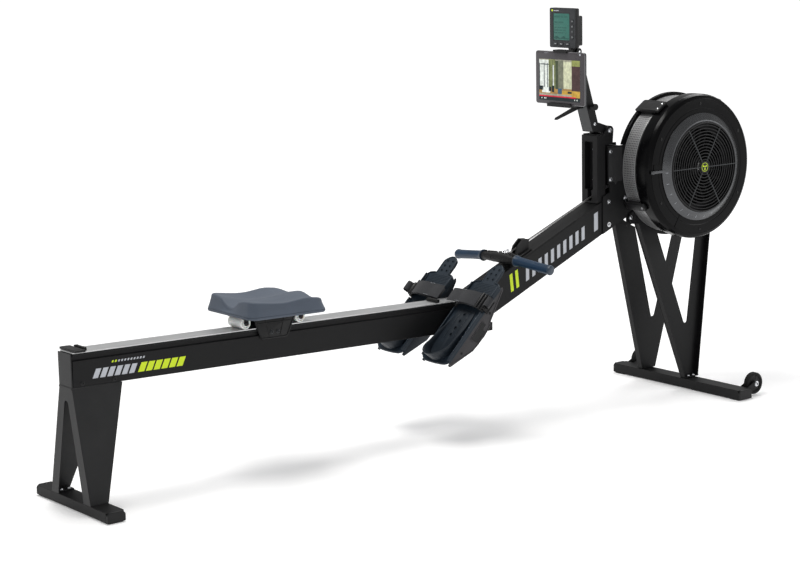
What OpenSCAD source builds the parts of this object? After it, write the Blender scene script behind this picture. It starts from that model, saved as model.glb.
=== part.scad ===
/* [Frame] */
// distance from the rear foot's centre to the bounding box centre, along the machine (mm)
x_mid = 1186.5; // [1100:0.5:1300]
// sideways distance from the rail's centre plane to the bounding box centre (mm)
y_mid = -64.5; // [-100:0.5:0]
// height of the top of the rail over the rear foot (mm)
rail_z0 = 427; // [380:1:480]
// fall of the rail towards the flywheel (degrees)
rail_tilt = 1.404; // [0:0.001:4]
// width of the rail (mm)
rail_w = 66; // [50:1:90]
// height of the rail with its steel track (mm)
rail_h = 93.5; // [70:0.5:130]
// where the rail meets the boom, from the rear foot's centre (mm)
joint_x = 1318; // [1200:1:1400]
// rise of the boom (degrees)
boom_tilt = 23.1; // [15:0.1:35]
// width of the boom (mm)
boom_w = 71; // [50:1:90]
// height of the boom square to its axis (mm)
boom_h = 95.5; // [70:0.5:130]
// where the boom ends at the flywheel bracket (mm)
boom_x1 = 1868; // [1800:1:1900]
// length of the rear foot bar (mm)
rear_bar_l = 380; // [300:1:460]
// front foot bar, end on the open side (mm)
front_bar_y1 = 222.5; // [150:0.5:300]
// front foot bar, end on the flywheel side (mm)
front_bar_y0 = -351.5; // [-400:0.5:-250]
// front foot bar, station of its centre (mm)
front_bar_x = 2191; // [2100:1:2250]
/* [Flywheel] */
// station of the axle (mm)
axle_x = 2171; // [2100:1:2250]
// height of the axle (mm)
axle_z = 729; // [650:1:800]
// outer radius of the housing's two shells (mm)
shell_r = 229; // [200:1:260]
// radius of the perforated band (mm)
band_r = 218; // [180:0.5:225]
// radius of the round grille (mm)
grille_r = 142; // [110:1:170]
// teeth on the chain sprocket
teeth = 14; // [11:1:20]
// pitch of the chain (mm)
pitch = 6.35; // [6:0.05:9.6]
/* [Seat] */
// station of the seat's centre (mm)
seat_x = 614; // [200:1:1000]
// length of the seat pad (mm)
seat_l = 262; // [220:1:300]
// width of the seat pad at its base (mm)
seat_w = 236; // [200:1:320]
// underside of the seat pad over the track (mm)
seat_z = 38; // [30:1:60]
// radius of the top rollers (mm)
roller_r = 16.5; // [12:0.5:22]
// radius of the lower rollers (mm)
low_r = 6; // [4:0.5:10]
/* [Foot boards] */
// slope of the foot boards (degrees)
board_tilt = 44.3; // [35:0.1:60]
// station of the boards' heel end (mm)
board_x = 1127; // [1050:1:1200]
// height of the boards' heel end (mm)
board_z = 239; // [200:1:300]
// sideways place of each board's centre (mm)
board_y = 108; // [90:1:130]
// width of each board (mm)
board_w = 124; // [100:1:140]
/* [Monitor] */
// width of the monitor case (mm)
mon_w = 114; // [90:1:140]
// height of the monitor case (mm)
mon_h = 121; // [100:1:150]
// width of the tablet (mm)
tab_w = 223; // [180:1:260]
// height of the tablet (mm)
tab_h = 163; // [120:1:200]

/* [Hidden] */
$fn = 64;
sprocket_r = pitch / 2 / sin(180 / teeth);
ux = cos(boom_tilt);
uz = sin(boom_tilt);
boom_z0 = 296;      // underside of the boom where it meets the rail
fit = 0.05;         // running clearance of a shaft in a hole
guide_x = 1888;     // chain guide in the foot of the mast
guide_z = 669;
hook_x = 1530;
bar_z0 = 3;         // underside of the foot bars, over the rubber feet
rear_bar_z1 = 30.4;
front_bar_z1 = 33.4;

module at() translate([-x_mid, -y_mid, 0]) children();
module rail_frame() at() translate([0, 0, rail_z0]) rotate([0, rail_tilt, 0]) children();
module seat_frame() rail_frame() translate([seat_x, 0, 0]) children();
module boom_frame() at() translate([joint_x, 0, boom_z0]) rotate([0, -boom_tilt, 0]) children();
module axle_frame() at() translate([axle_x, 0, axle_z]) children();
module board_frame(s) at() translate([board_x, s * board_y, board_z])
    rotate([0, -board_tilt, 0]) children();
// a flat plate: the outline is drawn in X and Z, and the plate runs from y0 to y1
module plate(y0, y1) translate([0, y1, 0]) rotate([90, 0, 0]) linear_extrude(y1 - y0) children();
// a round bar along Y, from y0 to y1
module ybar(r, y0, y1, f = 64) translate([0, y0, 0]) rotate([-90, 0, 0])
    cylinder(r = r, h = y1 - y0, $fn = f);
// a round bar between two points
module rod(a, b, r0, r1, f = 48) {
    d = b - a;
    l = norm(d);
    translate(a) rotate([0, acos(d[2] / l), atan2(d[1], d[0])])
        cylinder(r1 = r0, r2 = r1, h = l, $fn = f);
}
// two discs joined by a tapered strip
module link2d(a, ra, b, rb) {
    d = (b - a) / norm(b - a);
    n = [-d[1], d[0]];
    translate(a) circle(ra);
    translate(b) circle(rb);
    polygon([a + n * ra, b + n * rb, b - n * rb, a - n * ra]);
}
module sides() { children(); mirror([0, 1, 0]) children(); }
// a rounded outline in X and Y
module round_rect(l, w, r) {
    square([l - 2 * r, w], center = true);
    square([l, w - 2 * r], center = true);
    for (x = [-1, 1], y = [-1, 1]) translate([x * (l / 2 - r), y * (w / 2 - r)]) circle(r);
}

/* ---------- frame ---------- */
boom_l = (boom_x1 - joint_x) / ux;
module boom() color([0.1, 0.1, 0.11]) {
    difference() {
        at() plate(-boom_w / 2, boom_w / 2)
            polygon([[joint_x + 1, boom_z0], [boom_x1, boom_z0 + (boom_x1 - joint_x) * uz / ux],
                [boom_x1, boom_z0 + (boom_x1 - joint_x) * uz / ux + boom_h / ux],
                [joint_x + 1, boom_z0 + boom_h / ux]]);
        boom_frame() translate([-80, -boom_w / 2 + 3, 3])
            cube([boom_l + 200, boom_w - 6, boom_h - 6]);
        // stepped top corners
        boom_frame() for (s = [-1, 1]) translate([-80, s * boom_w / 2, boom_h])
            rotate([45, 0, 0]) cube([2 * boom_l, 5, 5], center = true);
    }
    // lugs for the frame latch
    for (y = [-18, 14]) at() difference() {
        plate(y, y + 4) polygon([[1332, 303], [1372, 320], [1366, 296], [1352, 286], [1338, 288]]);
        translate([1350, 0, 297]) ybar(4 + fit, -30, 30, 32);
    }
}

module mast() color([0.1, 0.1, 0.11]) at() difference() {
    union() {
        // rear channel
        plate(-35, 35) polygon([[1849, 630], [1877, 642], [1877, 830], [1849, 830]]);
        // ears for the monitor arm, and the shoulder that carries them
        plate(-35, 35) polygon([[1849, 829], [1877, 812], [1900, 812], [1900, 826], [1876, 842],
            [1849, 842]]);
        sides() plate(26, 34) union() {
            translate([1906, 855]) circle(15);
            polygon([[1877, 812], [1917, 812], [1921, 855], [1891, 855], [1877, 842]]);
        }
        // foot plates over the boom's end
        sides() plate(31, 35) polygon([[1870, 640], [1884, 647], [1884, 820], [1870, 820]]);
    }
    // the tall slot in the rear face
    translate([1848, -15, 672]) cube([22, 36, 150]);
    translate([1848, -9, 636]) cube([40, 18, 62]);
    translate([1906, 0, 855]) ybar(5, -60, 60, 32);
}

module rear_plate2d() union() {
    polygon([[1869, 532], [1972, 575.5], [1972, 556], [1999.5, 556], [1999.5, 806], [1890.5, 806],
        [1890.5, 690], [1898, 683], [1898, 661], [1869, 650]]);
}
module flywheel_bracket() color([0.11, 0.11, 0.12]) at() difference() {
    union() {
        difference() {
            sides() plate(36, 40) rear_plate2d();
            // bolt holes are filled by the bolts
        }
        // web between the two side plates, open for the chain's two runs
        difference() {
            translate([1950, -36, 588]) cube([4, 72, 216]);
            translate([1940, -14, 606]) cube([24, 28, 106]);
        }
        // arms to the axle and struts to the front legs
        for (y = [-17, 36]) {
            plate(y, y + 4) link2d([1978, 704], 52, [axle_x, axle_z], 44);
            plate(y, y + 4) link2d([axle_x, axle_z], 38, [2300, 512], 20);
        }
        // cross tube for the front arms of the legs
        translate([2300, 0, 512]) ybar(10, -46.5, 46.5);
        // bearing bosses
        translate([axle_x, 0, axle_z]) ybar(20, -17, -12);
        translate([axle_x, 0, axle_z]) ybar(20, 31, 42);
        // ties from the arms back to the side plates
        translate([1950, -36, 700]) cube([40, 23, 4]);
        translate([1950, 13, 700]) cube([40, 25, 4]);
    }
    translate([axle_x, 0, axle_z]) ybar(8.02, -60, 60);
    translate([1985, 0, 573]) ybar(4, -60, 60, 32);
}

lean = atan((88 - 44) / (560 - 33.5));
leg_len = 1 / cos(lean);
module v_leg() at() translate([0, 88, front_bar_z1]) rotate([lean, 0, 0]) difference() {
    union() {
        plate(0, 3) difference() {
            union() {
                polygon([[2168, 0], [2228, 0], [2324, 480], [2276, 480], [2209, 184],
                    [2200, 176], [2191, 184], [2077, 545], [1992, 545]]);
                translate([1996, 540]) circle(20);
                translate([2300, 480]) circle(24);
                polygon([[1977, 545], [2076, 545], [2076, 558], [1992, 558]]);
            }
            translate([2200, 185]) circle(9);
            translate([1985, 542]) circle(4.4);
            translate([2300, 480.5]) circle(5);
        }
        // folded flanges along the outer edges
        plate(0, 20) polygon([[2168, 0], [2171.2, 0], [2005, 520], [2001.8, 520]]);
        plate(0, 20) polygon([[2225, 0], [2228, 0], [2320, 460], [2317, 460]]);
        // folded foot
        plate(0, 22) polygon([[2168, 0], [2228, 0], [2228, 3], [2168, 3]]);
    }
    // room for the flywheel housing
    translate([axle_x, 0, (axle_z - front_bar_z1) * leg_len]) ybar(221, -60, 60, 128);
}
module front_leg_left() color([0.1, 0.1, 0.11]) v_leg();
module front_leg_right() color([0.1, 0.1, 0.11]) at() mirror([0, 1, 0])
    translate([x_mid, y_mid, 0]) v_leg();

module front_foot_bar() color([0.11, 0.11, 0.12]) at() {
    difference() {
        translate([front_bar_x - 26, front_bar_y0 + 8, bar_z0])
            cube([52, front_bar_y1 - front_bar_y0 - 16, front_bar_z1 - bar_z0]);
        translate([front_bar_x - 23, front_bar_y0, bar_z0 + 3])
            cube([46, 700, front_bar_z1 - bar_z0 - 6]);
    }
    // sleeve on the flywheel side
    difference() {
        translate([front_bar_x - 27, front_bar_y0 + 8.1, bar_z0 - 0.4]) cube([54, 202, 30.6]);
        translate([front_bar_x - 25.5, front_bar_y0, bar_z0 + 1]) cube([51, 240, 28.4]);
    }
    // forks of the transport wheels
    for (y = [wheel_y0, wheel_y1], s = [-1, 1]) difference() {
        translate([0, y, 0]) plate(s * 14 - 1.5, s * 14 + 1.5) union() {
            polygon([[front_bar_x + 25, 6], [front_bar_x + 25, 33], [wheel_x - 2, 51],
                [wheel_x + 4, 28]]);
            translate([wheel_x, wheel_z]) circle(12);
        }
        translate([wheel_x, 0, wheel_z]) ybar(4, -400, 400, 32);
    }
}
wheel_x = 2259;
wheel_z = 40;
wheel_y0 = -319;
wheel_y1 = 190;
module wheel(y) color([0.06, 0.06, 0.06]) at() translate([wheel_x, y, wheel_z]) difference() {
    union() {
        ybar(35, -9, 9);
        ybar(10, -12, 12, 48);
    }
    ybar(4 + fit, -20, 20, 32);
    for (s = [0, 1]) mirror([0, s, 0]) difference() {
        ybar(26, 5, 20);
        ybar(13, 0, 30, 48);
    }
}
module wheel_left() wheel(wheel_y1);
module wheel_right() wheel(wheel_y0);

leg_y = 104;
leg_lean = atan((leg_y - 33) / (331 - 33));
module rear_leg() color([0.12, 0.12, 0.13]) at() {
    // rear sheet with its arch
    translate([-26.8, 0, 0]) rotate([90, 0, 90]) linear_extrude(3) difference() {
        polygon([[-33, 424], [33, 424], [33, 331], [leg_y, rear_bar_z1 + 0.1],
            [-leg_y, rear_bar_z1 + 0.1], [-33, 331]]);
        polygon([[-66, 0], [66, 0], [66, 40], [10, 288], [-10, 288], [-66, 40]]);
        translate([0, 286]) circle(10.2);
    }
    // leaning side panels
    sides() translate([0, 33, 331]) rotate([leg_lean, 0, 0]) plate(-3, 0)
        polygon([[-24.8, 0], [100, 0], [125.2, -0.9], [27.2, -308.3], [-24.8, -308.3]]);
    // shelf under the rail
    translate([0, 0, rail_z0]) rotate([0, rail_tilt, 0])
        translate([-25.8, -33, -rail_h - 5.2]) cube([150, 66, 5]);
    // feet on the bar
    for (s = [-1, 1]) translate([-25.8, s * (leg_y - 14) - 14, rear_bar_z1 + 0.1]) cube([52, 28, 3]);
}

module rear_foot_bar() color([0.11, 0.11, 0.12]) at() difference() {
    translate([-27, -rear_bar_l / 2 + 8, bar_z0])
        cube([54, rear_bar_l - 16, rear_bar_z1 - bar_z0]);
    translate([-24, -rear_bar_l / 2, bar_z0 + 3])
        cube([48, rear_bar_l, rear_bar_z1 - bar_z0 - 6]);
}

module end_cap(w, h) rotate([90, 0, 0]) linear_extrude(8)
    polygon([[-w / 2, 3], [w / 2, 3], [w / 2, h - 7], [w / 2 - 7, h], [-w / 2 + 7, h],
        [-w / 2, h - 7]]);
module foot_end_caps() color([0.05, 0.05, 0.05]) at() {
    translate([0, -rear_bar_l / 2 + 7.9, 0]) end_cap(54, rear_bar_z1);
    translate([0, rear_bar_l / 2 + 0.1, 0]) end_cap(54, rear_bar_z1);
    translate([front_bar_x, front_bar_y0 + 8, 0]) end_cap(54, front_bar_z1);
    translate([front_bar_x, front_bar_y1, 0]) end_cap(52, front_bar_z1);
    // cap on the mast's top
    translate([1852, -32, 842.1]) cube([24.5, 64, 4]);
}

module rubber_feet() color([0.04, 0.04, 0.04]) at() {
    for (s = [-1, 1]) translate([0, s * (rear_bar_l / 2 - 26), 0])
        linear_extrude(2.9) round_rect(46, 44, 6);
    translate([front_bar_x, front_bar_y0 + 30, 0]) linear_extrude(2.5) round_rect(44, 44, 6);
    translate([front_bar_x, front_bar_y1 - 26, 0]) linear_extrude(2.9) round_rect(44, 44, 6);
}

/* ---------- rail ---------- */
module monorail() color([0.1, 0.1, 0.11]) rail_frame() difference() {
    translate([-20, 0, 0]) rotate([90, 0, 90]) linear_extrude(joint_x + 18) difference() {
        polygon([[-33, -3.1], [33, -3.1], [33, -9.4], [27, -9.4], [27, -22], [33, -22],
            [33, -rail_h], [-33, -rail_h], [-33, -22], [-27, -22], [-27, -9.4], [-33, -9.4]]);
        polygon([[-23, -7], [23, -7], [23, -26], [29, -26], [29, 4 - rail_h], [-29, 4 - rail_h],
            [-29, -26], [-23, -26]]);
    }
    // square cut where the boom begins
    translate([joint_x - 4, -50, -120]) rotate([0, -rail_tilt, 0]) cube([60, 100, 140]);
}

module seat_track() color([0.72, 0.72, 0.74]) rail_frame() {
    translate([-20, -33, -3]) cube([joint_x + 14, 66, 3]);
}

module rail_end_cap() color([0.07, 0.07, 0.08]) rail_frame() {
    translate([-16.6, -42, 0.1]) cube([31, 84, 6]);
    translate([-16.6, -30, 6]) cube([22, 60, 1]);
}

module seat_stops() color([0.05, 0.05, 0.05]) rail_frame() {
    translate([16, -26, 0.1]) cube([12, 52, 20]);
    translate([1206, -26, 0.1]) cube([12, 52, 20]);
}

module foot_support() color([0.13, 0.13, 0.14]) at() sides() {
    // flange on the side of the rail, and the bar that carries a foot board
    plate(33.3, 37.3) polygon([[1245, 316], [1316, 315], [1316, 372], [1262, 372]]);
    translate([1276, 37, 322]) cube([30, 124, 24]);
    translate([1252, 36, 326]) cube([30, 10, 16]);
}

/* ---------- foot boards ---------- */
module footboard() color([0.15, 0.2, 0.24]) union() {
    difference() {
        union() {
            // board, toe tab and side skirts
            translate([0, -board_w / 2, 0]) cube([300, board_w, 8]);
            translate([298, -30, 2]) cube([52, 60, 6]);
            translate([350, 0, 2]) intersection() {
                cylinder(r = 30, h = 6);
                translate([0, -40, -1]) cube([16.5, 80, 10]);
            }
            for (y = [-board_w / 2, board_w / 2 - 4])
                plate(y, y + 4) polygon([[2, 1], [300, 1], [292, -8], [150, -48], [90, -44],
                    [4, -8]]);
            // raised side ribs
            for (y = [-board_w / 2, board_w / 2 - 5]) translate([12, y, 7]) cube([280, 5, 9]);
        }
        // holes of the toe tab and the long slot for the heel rest's pins
        for (x = [312, 330], y = [-14, 14]) translate([x, y, 0]) cylinder(r = 4, h = 20, $fn = 24);
        for (x = [40 : 22 : 172]) translate([x, 0, -5]) cylinder(r = 4.5, h = 30, $fn = 24);
        // gap in the ribs for the strap
        translate([193, -70, 8]) cube([56, 140, 20]);
    }
}
module board_bar_room() at() translate([1275.7, -170, 321.7]) cube([30.6, 340, 24.6]);
module footboard_left() difference() { board_frame(1) footboard(); board_bar_room(); }
module footboard_right() difference() {
    board_frame(-1) mirror([0, 1, 0]) footboard();
    board_bar_room();
}

module heel_rest() color([0.17, 0.22, 0.26]) {
    difference() {
        union() {
            translate([30, -42, 8.4]) cube([160, 84, 4]);
            difference() {
                translate([52, 0, 8.4]) cylinder(r = 50, h = 40);
                translate([52, 0, 12.4]) cylinder(r = 45, h = 60);
                translate([62, -80, 0]) cube([200, 160, 100]);
            }
            translate([52, -50, 8.4]) cube([44, 5, 22]);
            translate([52, 45, 8.4]) cube([44, 5, 22]);
        }
        for (x = [100 : 25 : 175]) translate([x, 0, 0]) cylinder(r = 5, h = 40, $fn = 24);
    }
}
module heel_rest_left() board_frame(1) heel_rest();
module heel_rest_right() board_frame(-1) heel_rest();

module strap() color([0.2, 0.2, 0.22]) difference() {
    intersection() {
        translate([196, 0, -37]) rotate([0, 90, 0]) difference() {
            cylinder(r = 78, h = 50, $fn = 96);
            translate([0, 0, -1]) cylinder(r = 75.5, h = 60, $fn = 96);
        }
        translate([190, -70, 9]) cube([70, 140, 60]);
    }
}
module foot_straps() color([0.2, 0.2, 0.22]) {
    board_frame(1) strap();
    board_frame(-1) strap();
}
module buckle() {
    // block on the board's outer edge and the loop of webbing above it
    translate([200, board_w / 2 + 0.5, -4]) cube([44, 7, 26]);
    translate([206, board_w / 2 + 7, 4]) cube([32, 5, 14]);
    difference() {
        translate([206, board_w / 2 + 16, 24]) rotate([0, 90, 0]) cylinder(r = 11, h = 32, $fn = 48);
        translate([200, board_w / 2 + 16, 24]) rotate([0, 90, 0]) cylinder(r = 8, h = 50, $fn = 48);
    }
}
module strap_buckles() color([0.06, 0.06, 0.07]) {
    board_frame(1) buckle();
    board_frame(-1) mirror([0, 1, 0]) buckle();
}

/* ---------- flywheel ---------- */
module revolve(f = 128) rotate([90, 0, 0]) rotate_extrude($fn = f) children();
// outlines below are drawn as [radius, distance towards the grille]
module housing_shell_right() color([0.08, 0.08, 0.09]) axle_frame() revolve()
    polygon([[grille_r - 1, 163], [212, 163], [219, 160], [225, 150], [226, 117], [219, 102],
        [206, 99], [206, 96.3], [220, 99], [229, 114], [229, 151], [224, 161], [213, 166],
        [grille_r - 1, 166]]);

module housing_shell_left() color([0.08, 0.08, 0.09]) difference() {
    axle_frame() revolve()
        polygon([[62, 18.2], [214, 18.2], [224, 22], [229, 28], [229, 40.7], [206, 40.7],
            [206, 38.2], [226, 38.2], [226, 29], [222, 24.4], [213, 21], [62, 21]]);
    at() translate([1900, -50, 574]) cube([100, 60, 232.6]);
}

module perforated_band() color([0.42, 0.42, 0.42]) axle_frame() difference() {
    ybar(band_r, -96, -41, 128);
    ybar(band_r - 1.5, -100, -30, 128);
}

module fan_grille() color([0.07, 0.07, 0.07]) axle_frame() revolve(96) {
    polygon([[grille_r - 4, 162.8], [grille_r - 1.2, 162.8], [grille_r - 1.2, 166.2],
        [grille_r, 166.2], [grille_r, 187], [grille_r - 4, 187]]);
    for (i = [0 : 10]) translate([26 + i * 10.4, 184]) square([3.4, 3]);
    translate([0.01, 183]) square([20, 4.5]);
}
module grille_spokes() axle_frame() for (i = [0 : 5]) rotate([0, 20 + i * 60, 0])
    translate([10, -185.6, -1.6]) cube([grille_r - 12, 3, 3.2]);

module housing_clips() color([0.05, 0.05, 0.06]) axle_frame() {
    for (c = [[52, 24, -27.5], [124, 24, -27.5], [209, 12, -41.2]]) rotate([0, -c[0], 0]) {
        // pad on the band, the bar across both shells, and its screws
        translate([218.4, -95.8, -c[1] + 4]) cube([14, 50, 2 * c[1] - 8]);
        translate([229.6, -130, -c[1]]) cube([11, 130 + c[2], 2 * c[1]]);
        for (z = [-11, 11]) translate([238, -118, z]) rotate([0, 90, 0]) cylinder(r = 4.5, h = 5);
    }
}

module axle() color([0.65, 0.65, 0.68]) axle_frame() {
    ybar(8, -156, 46);
    translate([0, 0, 0]) ybar(13, -160, -153, 6);
    ybar(13, 44, 52, 6);
}

module flywheel_fan() color([0.5, 0.5, 0.52]) axle_frame() difference() {
    union() {
        ybar(26, -150, -44);
        ybar(196, -62, -58, 128);
        difference() {
            ybar(198, -66, -50, 128);
            ybar(184, -70, -40, 128);
        }
        for (i = [0 : 23]) rotate([0, i * 15, 0]) translate([70, -146, -1.5]) cube([122, 85, 3]);
        difference() {
            ybar(190, -149, -146, 128);
            ybar(120, -155, -140, 128);
        }
    }
    ybar(8 + fit, -200, 100);
}

module damper_ring() color([0.3, 0.3, 0.31]) axle_frame() {
    difference() {
        revolve(96) polygon([[grille_r + 1, 168], [170, 167], [170, 169], [147, 183.5],
            [grille_r + 1, 183.5]]);
        revolve(96) polygon([[grille_r + 3, 160], [166, 160], [166, 168.6], [146, 181],
            [grille_r + 3, 181]]);
    }
    translate([-222, -174, -4]) cube([56, 5, 8]);
    translate([-222, -178, -5]) cube([8, 9, 10]);
}

module sprocket() color([0.6, 0.6, 0.62]) axle_frame() difference() {
    union() {
        plate(-1.2, 1.2) difference() {
            union() {
                circle(sprocket_r - 1.6);
                for (i = [0 : teeth - 1]) rotate(i * 360 / teeth)
                    polygon([[0, -1.5], [sprocket_r - 1, -1.4], [sprocket_r + 1.5, -0.5],
                        [sprocket_r + 1.5, 0.5], [sprocket_r - 1, 1.4], [0, 1.5]]);
            }
        }
        ybar(10.6, -11, 30);
    }
    ybar(8 + fit, -40, 60);
}

/* ---------- chain, cord and guides ---------- */
chain_a = [1506, 506];           // shackle at the handle
chain_b = [guide_x, 661];        // under the guide in the mast's foot
top_ang = 106.3;
chain_c = [axle_x + sprocket_r * cos(top_ang), axle_z + sprocket_r * sin(top_ang)];
low_ang = -66.9;
chain_d = [axle_x + sprocket_r * cos(low_ang), axle_z + sprocket_r * sin(low_ang)];
chain_e = [1880, 591];           // where the chain meets the return cord
module strip(a, b, w) {
    d = (b - a) / norm(b - a);
    n = [-d[1], d[0]];
    polygon([a + n * w, b + n * w, b - n * w, a - n * w]);
}
module chain_side() {
    strip(chain_a, chain_b, 2.6);
    translate(chain_b) circle(2.6, $fn = 24);
    strip(chain_b, chain_c, 2.6);
    difference() {
        translate([axle_x, axle_z]) circle(sprocket_r + 2.6);
        translate([axle_x, axle_z]) circle(sprocket_r - 2.6);
        translate([axle_x, axle_z]) rotate(top_ang) translate([-60, 0]) square([120, 60]);
        translate([axle_x, axle_z]) rotate(low_ang - 90) square([60, 60]);
    }
    strip(chain_d, chain_e, 2.6);
    translate(chain_c) circle(2.6, $fn = 24);
    translate(chain_d) circle(2.6, $fn = 24);
}
module chain_run(a, b) {
    n = floor(norm(b - a) / 60);
    for (i = [0 : n]) translate([(a + (b - a) * i / n)[0], 0, (a + (b - a) * i / n)[1]])
        ybar(1.4, -2.6, 2.6, 16);
}
module chain() color([0.55, 0.55, 0.56]) at() {
    sides() plate(1.7, 2.6) chain_side();
    chain_run(chain_a, chain_b);
    chain_run(chain_b, (chain_b * 0.12 + chain_c * 0.88));
    chain_run((chain_d * 0.9 + chain_e * 0.1), chain_e);
}

cord_end = [1352, 352];
module return_cord() color([0.12, 0.12, 0.12]) at() {
    rod([1870, 0, chain_e[1] - 4.4], [cord_end[0], 0, cord_end[1]], 5, 5, 24);
    // shackle and the anchor
    plate(-6, -3) polygon([[1866, 580], [1890, 590], [1890, 598], [1866, 592]]);
    plate(3, 6) polygon([[1866, 580], [1890, 590], [1890, 598], [1866, 592]]);
    translate([1870, 0, 586.4]) ybar(5, -6, 6, 24);
    translate([cord_end[0], 0, cord_end[1]]) ybar(6, -32.3, 32.3, 24);
}

module chain_guide() color([0.08, 0.08, 0.08]) at() {
    // the rounded shoe that the chain passes under, on its plate
    translate([guide_x + 2, 0, guide_z + 10.8]) ybar(14, -8, 8);
    translate([guide_x + 2, 0, guide_z + 10.8]) ybar(5, -35.8, 35.8, 32);
}

module handle_hook() color([0.07, 0.07, 0.07]) {
    boom_frame() translate([(hook_x - joint_x) / ux + 28, -24, boom_h + 0.1]) cube([72, 48, 5]);
    at() {
        sides() plate(7, 13) polygon([[1512, 487], [1580, 516], [1584, 546], [1560, 548],
            [1538, 528], [1528, 504], [1512, 500]]);
        sides() plate(7, 20) polygon([[1500, 478], [1524, 488], [1524, 494], [1500, 484]]);
        plate(-13, 13) polygon([[1560, 504], [1582, 513.4], [1582, 519], [1560, 514]]);
        // bridge over the chain
        difference() {
            translate([1562, -13, 540]) cube([18, 26, 6]);
            translate([1500, -4, 520]) cube([100, 8, 24]);
        }
    }
}

module bolt(x, z, y, r = 6, h = 4) translate([x, 0, z]) {
    if (y > 0) ybar(r, y, y + h, 32);
    else ybar(r, y - h, y, 32);
}
module frame_bolts() color([0.75, 0.75, 0.78]) at() {
    for (s = [-1, 1]) {
        for (p = [[1901, 790], [1901, 702], [1895, 633], [1895, 560], [1965, 637]])
            bolt(p[0], p[1], s * 40.1, 5, 4);
        // pins of the legs' rear arms
        translate([1985, 0, 573]) if (s > 0) ybar(3.1, 36, 47, 24); else ybar(3.1, -47, -36, 24);
        // feet of the legs, on the bar
        for (x = [front_bar_x - 2, front_bar_x + 20]) translate([x, s * 101, front_bar_z1 + 5.1])
            cylinder(r = 5, h = 4, $fn = 32);
        for (x = [-8, 14]) translate([x, s * (leg_y - 18), rear_bar_z1 + 3.2])
            cylinder(r = 5, h = 4, $fn = 32);
    }
    // bolts in the mast's slot
    for (z = [702, 796]) translate([1869.9, 3, z]) rotate([0, -90, 0])
        cylinder(r = 4, h = 4, $fn = 32);
    // bolt on the side of the rail's rear end
    rail_bolts();
    // wheel pins
    for (y = [wheel_y0, wheel_y1]) translate([wheel_x, y, wheel_z]) {
        ybar(4, -18, 18, 32);
        ybar(7, 15.6, 19, 32);
        ybar(7, -19, -15.6, 32);
    }
}
module rail_bolts() translate([0, 0, rail_z0]) rotate([0, rail_tilt, 0]) for (x = [8, 104])
    for (s = [-1, 1]) translate([x, 0, -84]) if (s > 0) ybar(5, 33.1, 36, 32);
        else ybar(5, -36, -33.1, 32);

/* ---------- seat ---------- */
module seat_slab(z, l, w, r) translate([0, 0, z]) linear_extrude(1) round_rect(l, w, r);
module seat_pad() color([0.33, 0.38, 0.43]) seat_frame() translate([0, 0, seat_z]) difference() {
    union() {
        hull() {
            seat_slab(0, seat_l - 8, seat_w - 8, 25);
            seat_slab(5, seat_l, seat_w, 26);
            seat_slab(44, seat_l - 16, seat_w - 18, 26);
        }
        translate([20, 0, 46]) intersection() {
            translate([0, 0, -300]) rotate([90, 0, 0])
                cylinder(r = 306, h = seat_w - 30, center = true, $fn = 96);
            translate([-90, -120, -2]) cube([180, 240, 20]);
        }
    }
    // two hollows and the notch in the rear edge
    for (s = [-1, 1]) translate([-14, s * 52, 128]) sphere(r = 92, $fn = 48);
    translate([-seat_l / 2 - 4, 0, 46]) rotate([0, 8, 0]) rotate([0, 90, 0])
        cylinder(r = 20, h = 90, $fn = 48);
}

module seat_carriage() color([0.07, 0.07, 0.08]) seat_frame() difference() {
    union() {
        translate([-106, -37, 34]) cube([212, 74, 3.8]);
        sides() plate(34, 37) polygon([[-106, 37], [106, 37], [106, 9], [60, 4], [46, -30],
            [40, -34], [-36, -34], [-42, -30], [-56, 4], [-106, 9]]);
    }
    for (x = [-92, 92]) translate([x, 0, roller_r + 0.1]) ybar(5, -60, 60, 32);
    for (x = [-9, 13]) translate([x, 0, -15.5]) ybar(2, -60, 60, 32);
}

module seat_axles() color([0.75, 0.75, 0.78]) seat_frame() {
    for (x = [-92, 92]) translate([x, 0, roller_r + 0.1]) {
        ybar(4.95, -38, 38, 32);
        ybar(8, 37.1, 40, 6);
        ybar(8, -40, -37.1, 6);
    }
    for (x = [-9, 13], s = [-1, 1]) translate([x, 0, -15.5]) {
        if (s > 0) ybar(1.95, 27.6, 38, 24); else ybar(1.95, -38, -27.6, 24);
        if (s > 0) ybar(5, 37.1, 40.5, 32); else ybar(5, -40.5, -37.1, 32);
    }
}

module top_roller(x) color([0.9, 0.9, 0.88]) seat_frame() translate([x, 0, roller_r + 0.1])
    difference() {
        union() {
            ybar(roller_r, -33, 33);
            ybar(9, -33.6, 33.6);
        }
        ybar(5, -60, 60, 32);
        ybar(12, 29, 40);
        ybar(12, -40, -29);
    }
module top_roller_rear() top_roller(-92);
module top_roller_front() top_roller(92);
module lower_pair(x) color([0.85, 0.85, 0.83]) seat_frame() for (s = [-1, 1])
    translate([x, 0, -15.5]) difference() {
        if (s > 0) ybar(low_r, 27.8, 32.8, 48); else ybar(low_r, -32.8, -27.8, 48);
        ybar(1.95 + fit, -60, 60, 24);
    }
module lower_rollers_rear() lower_pair(-9);
module lower_rollers_front() lower_pair(13);

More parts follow.
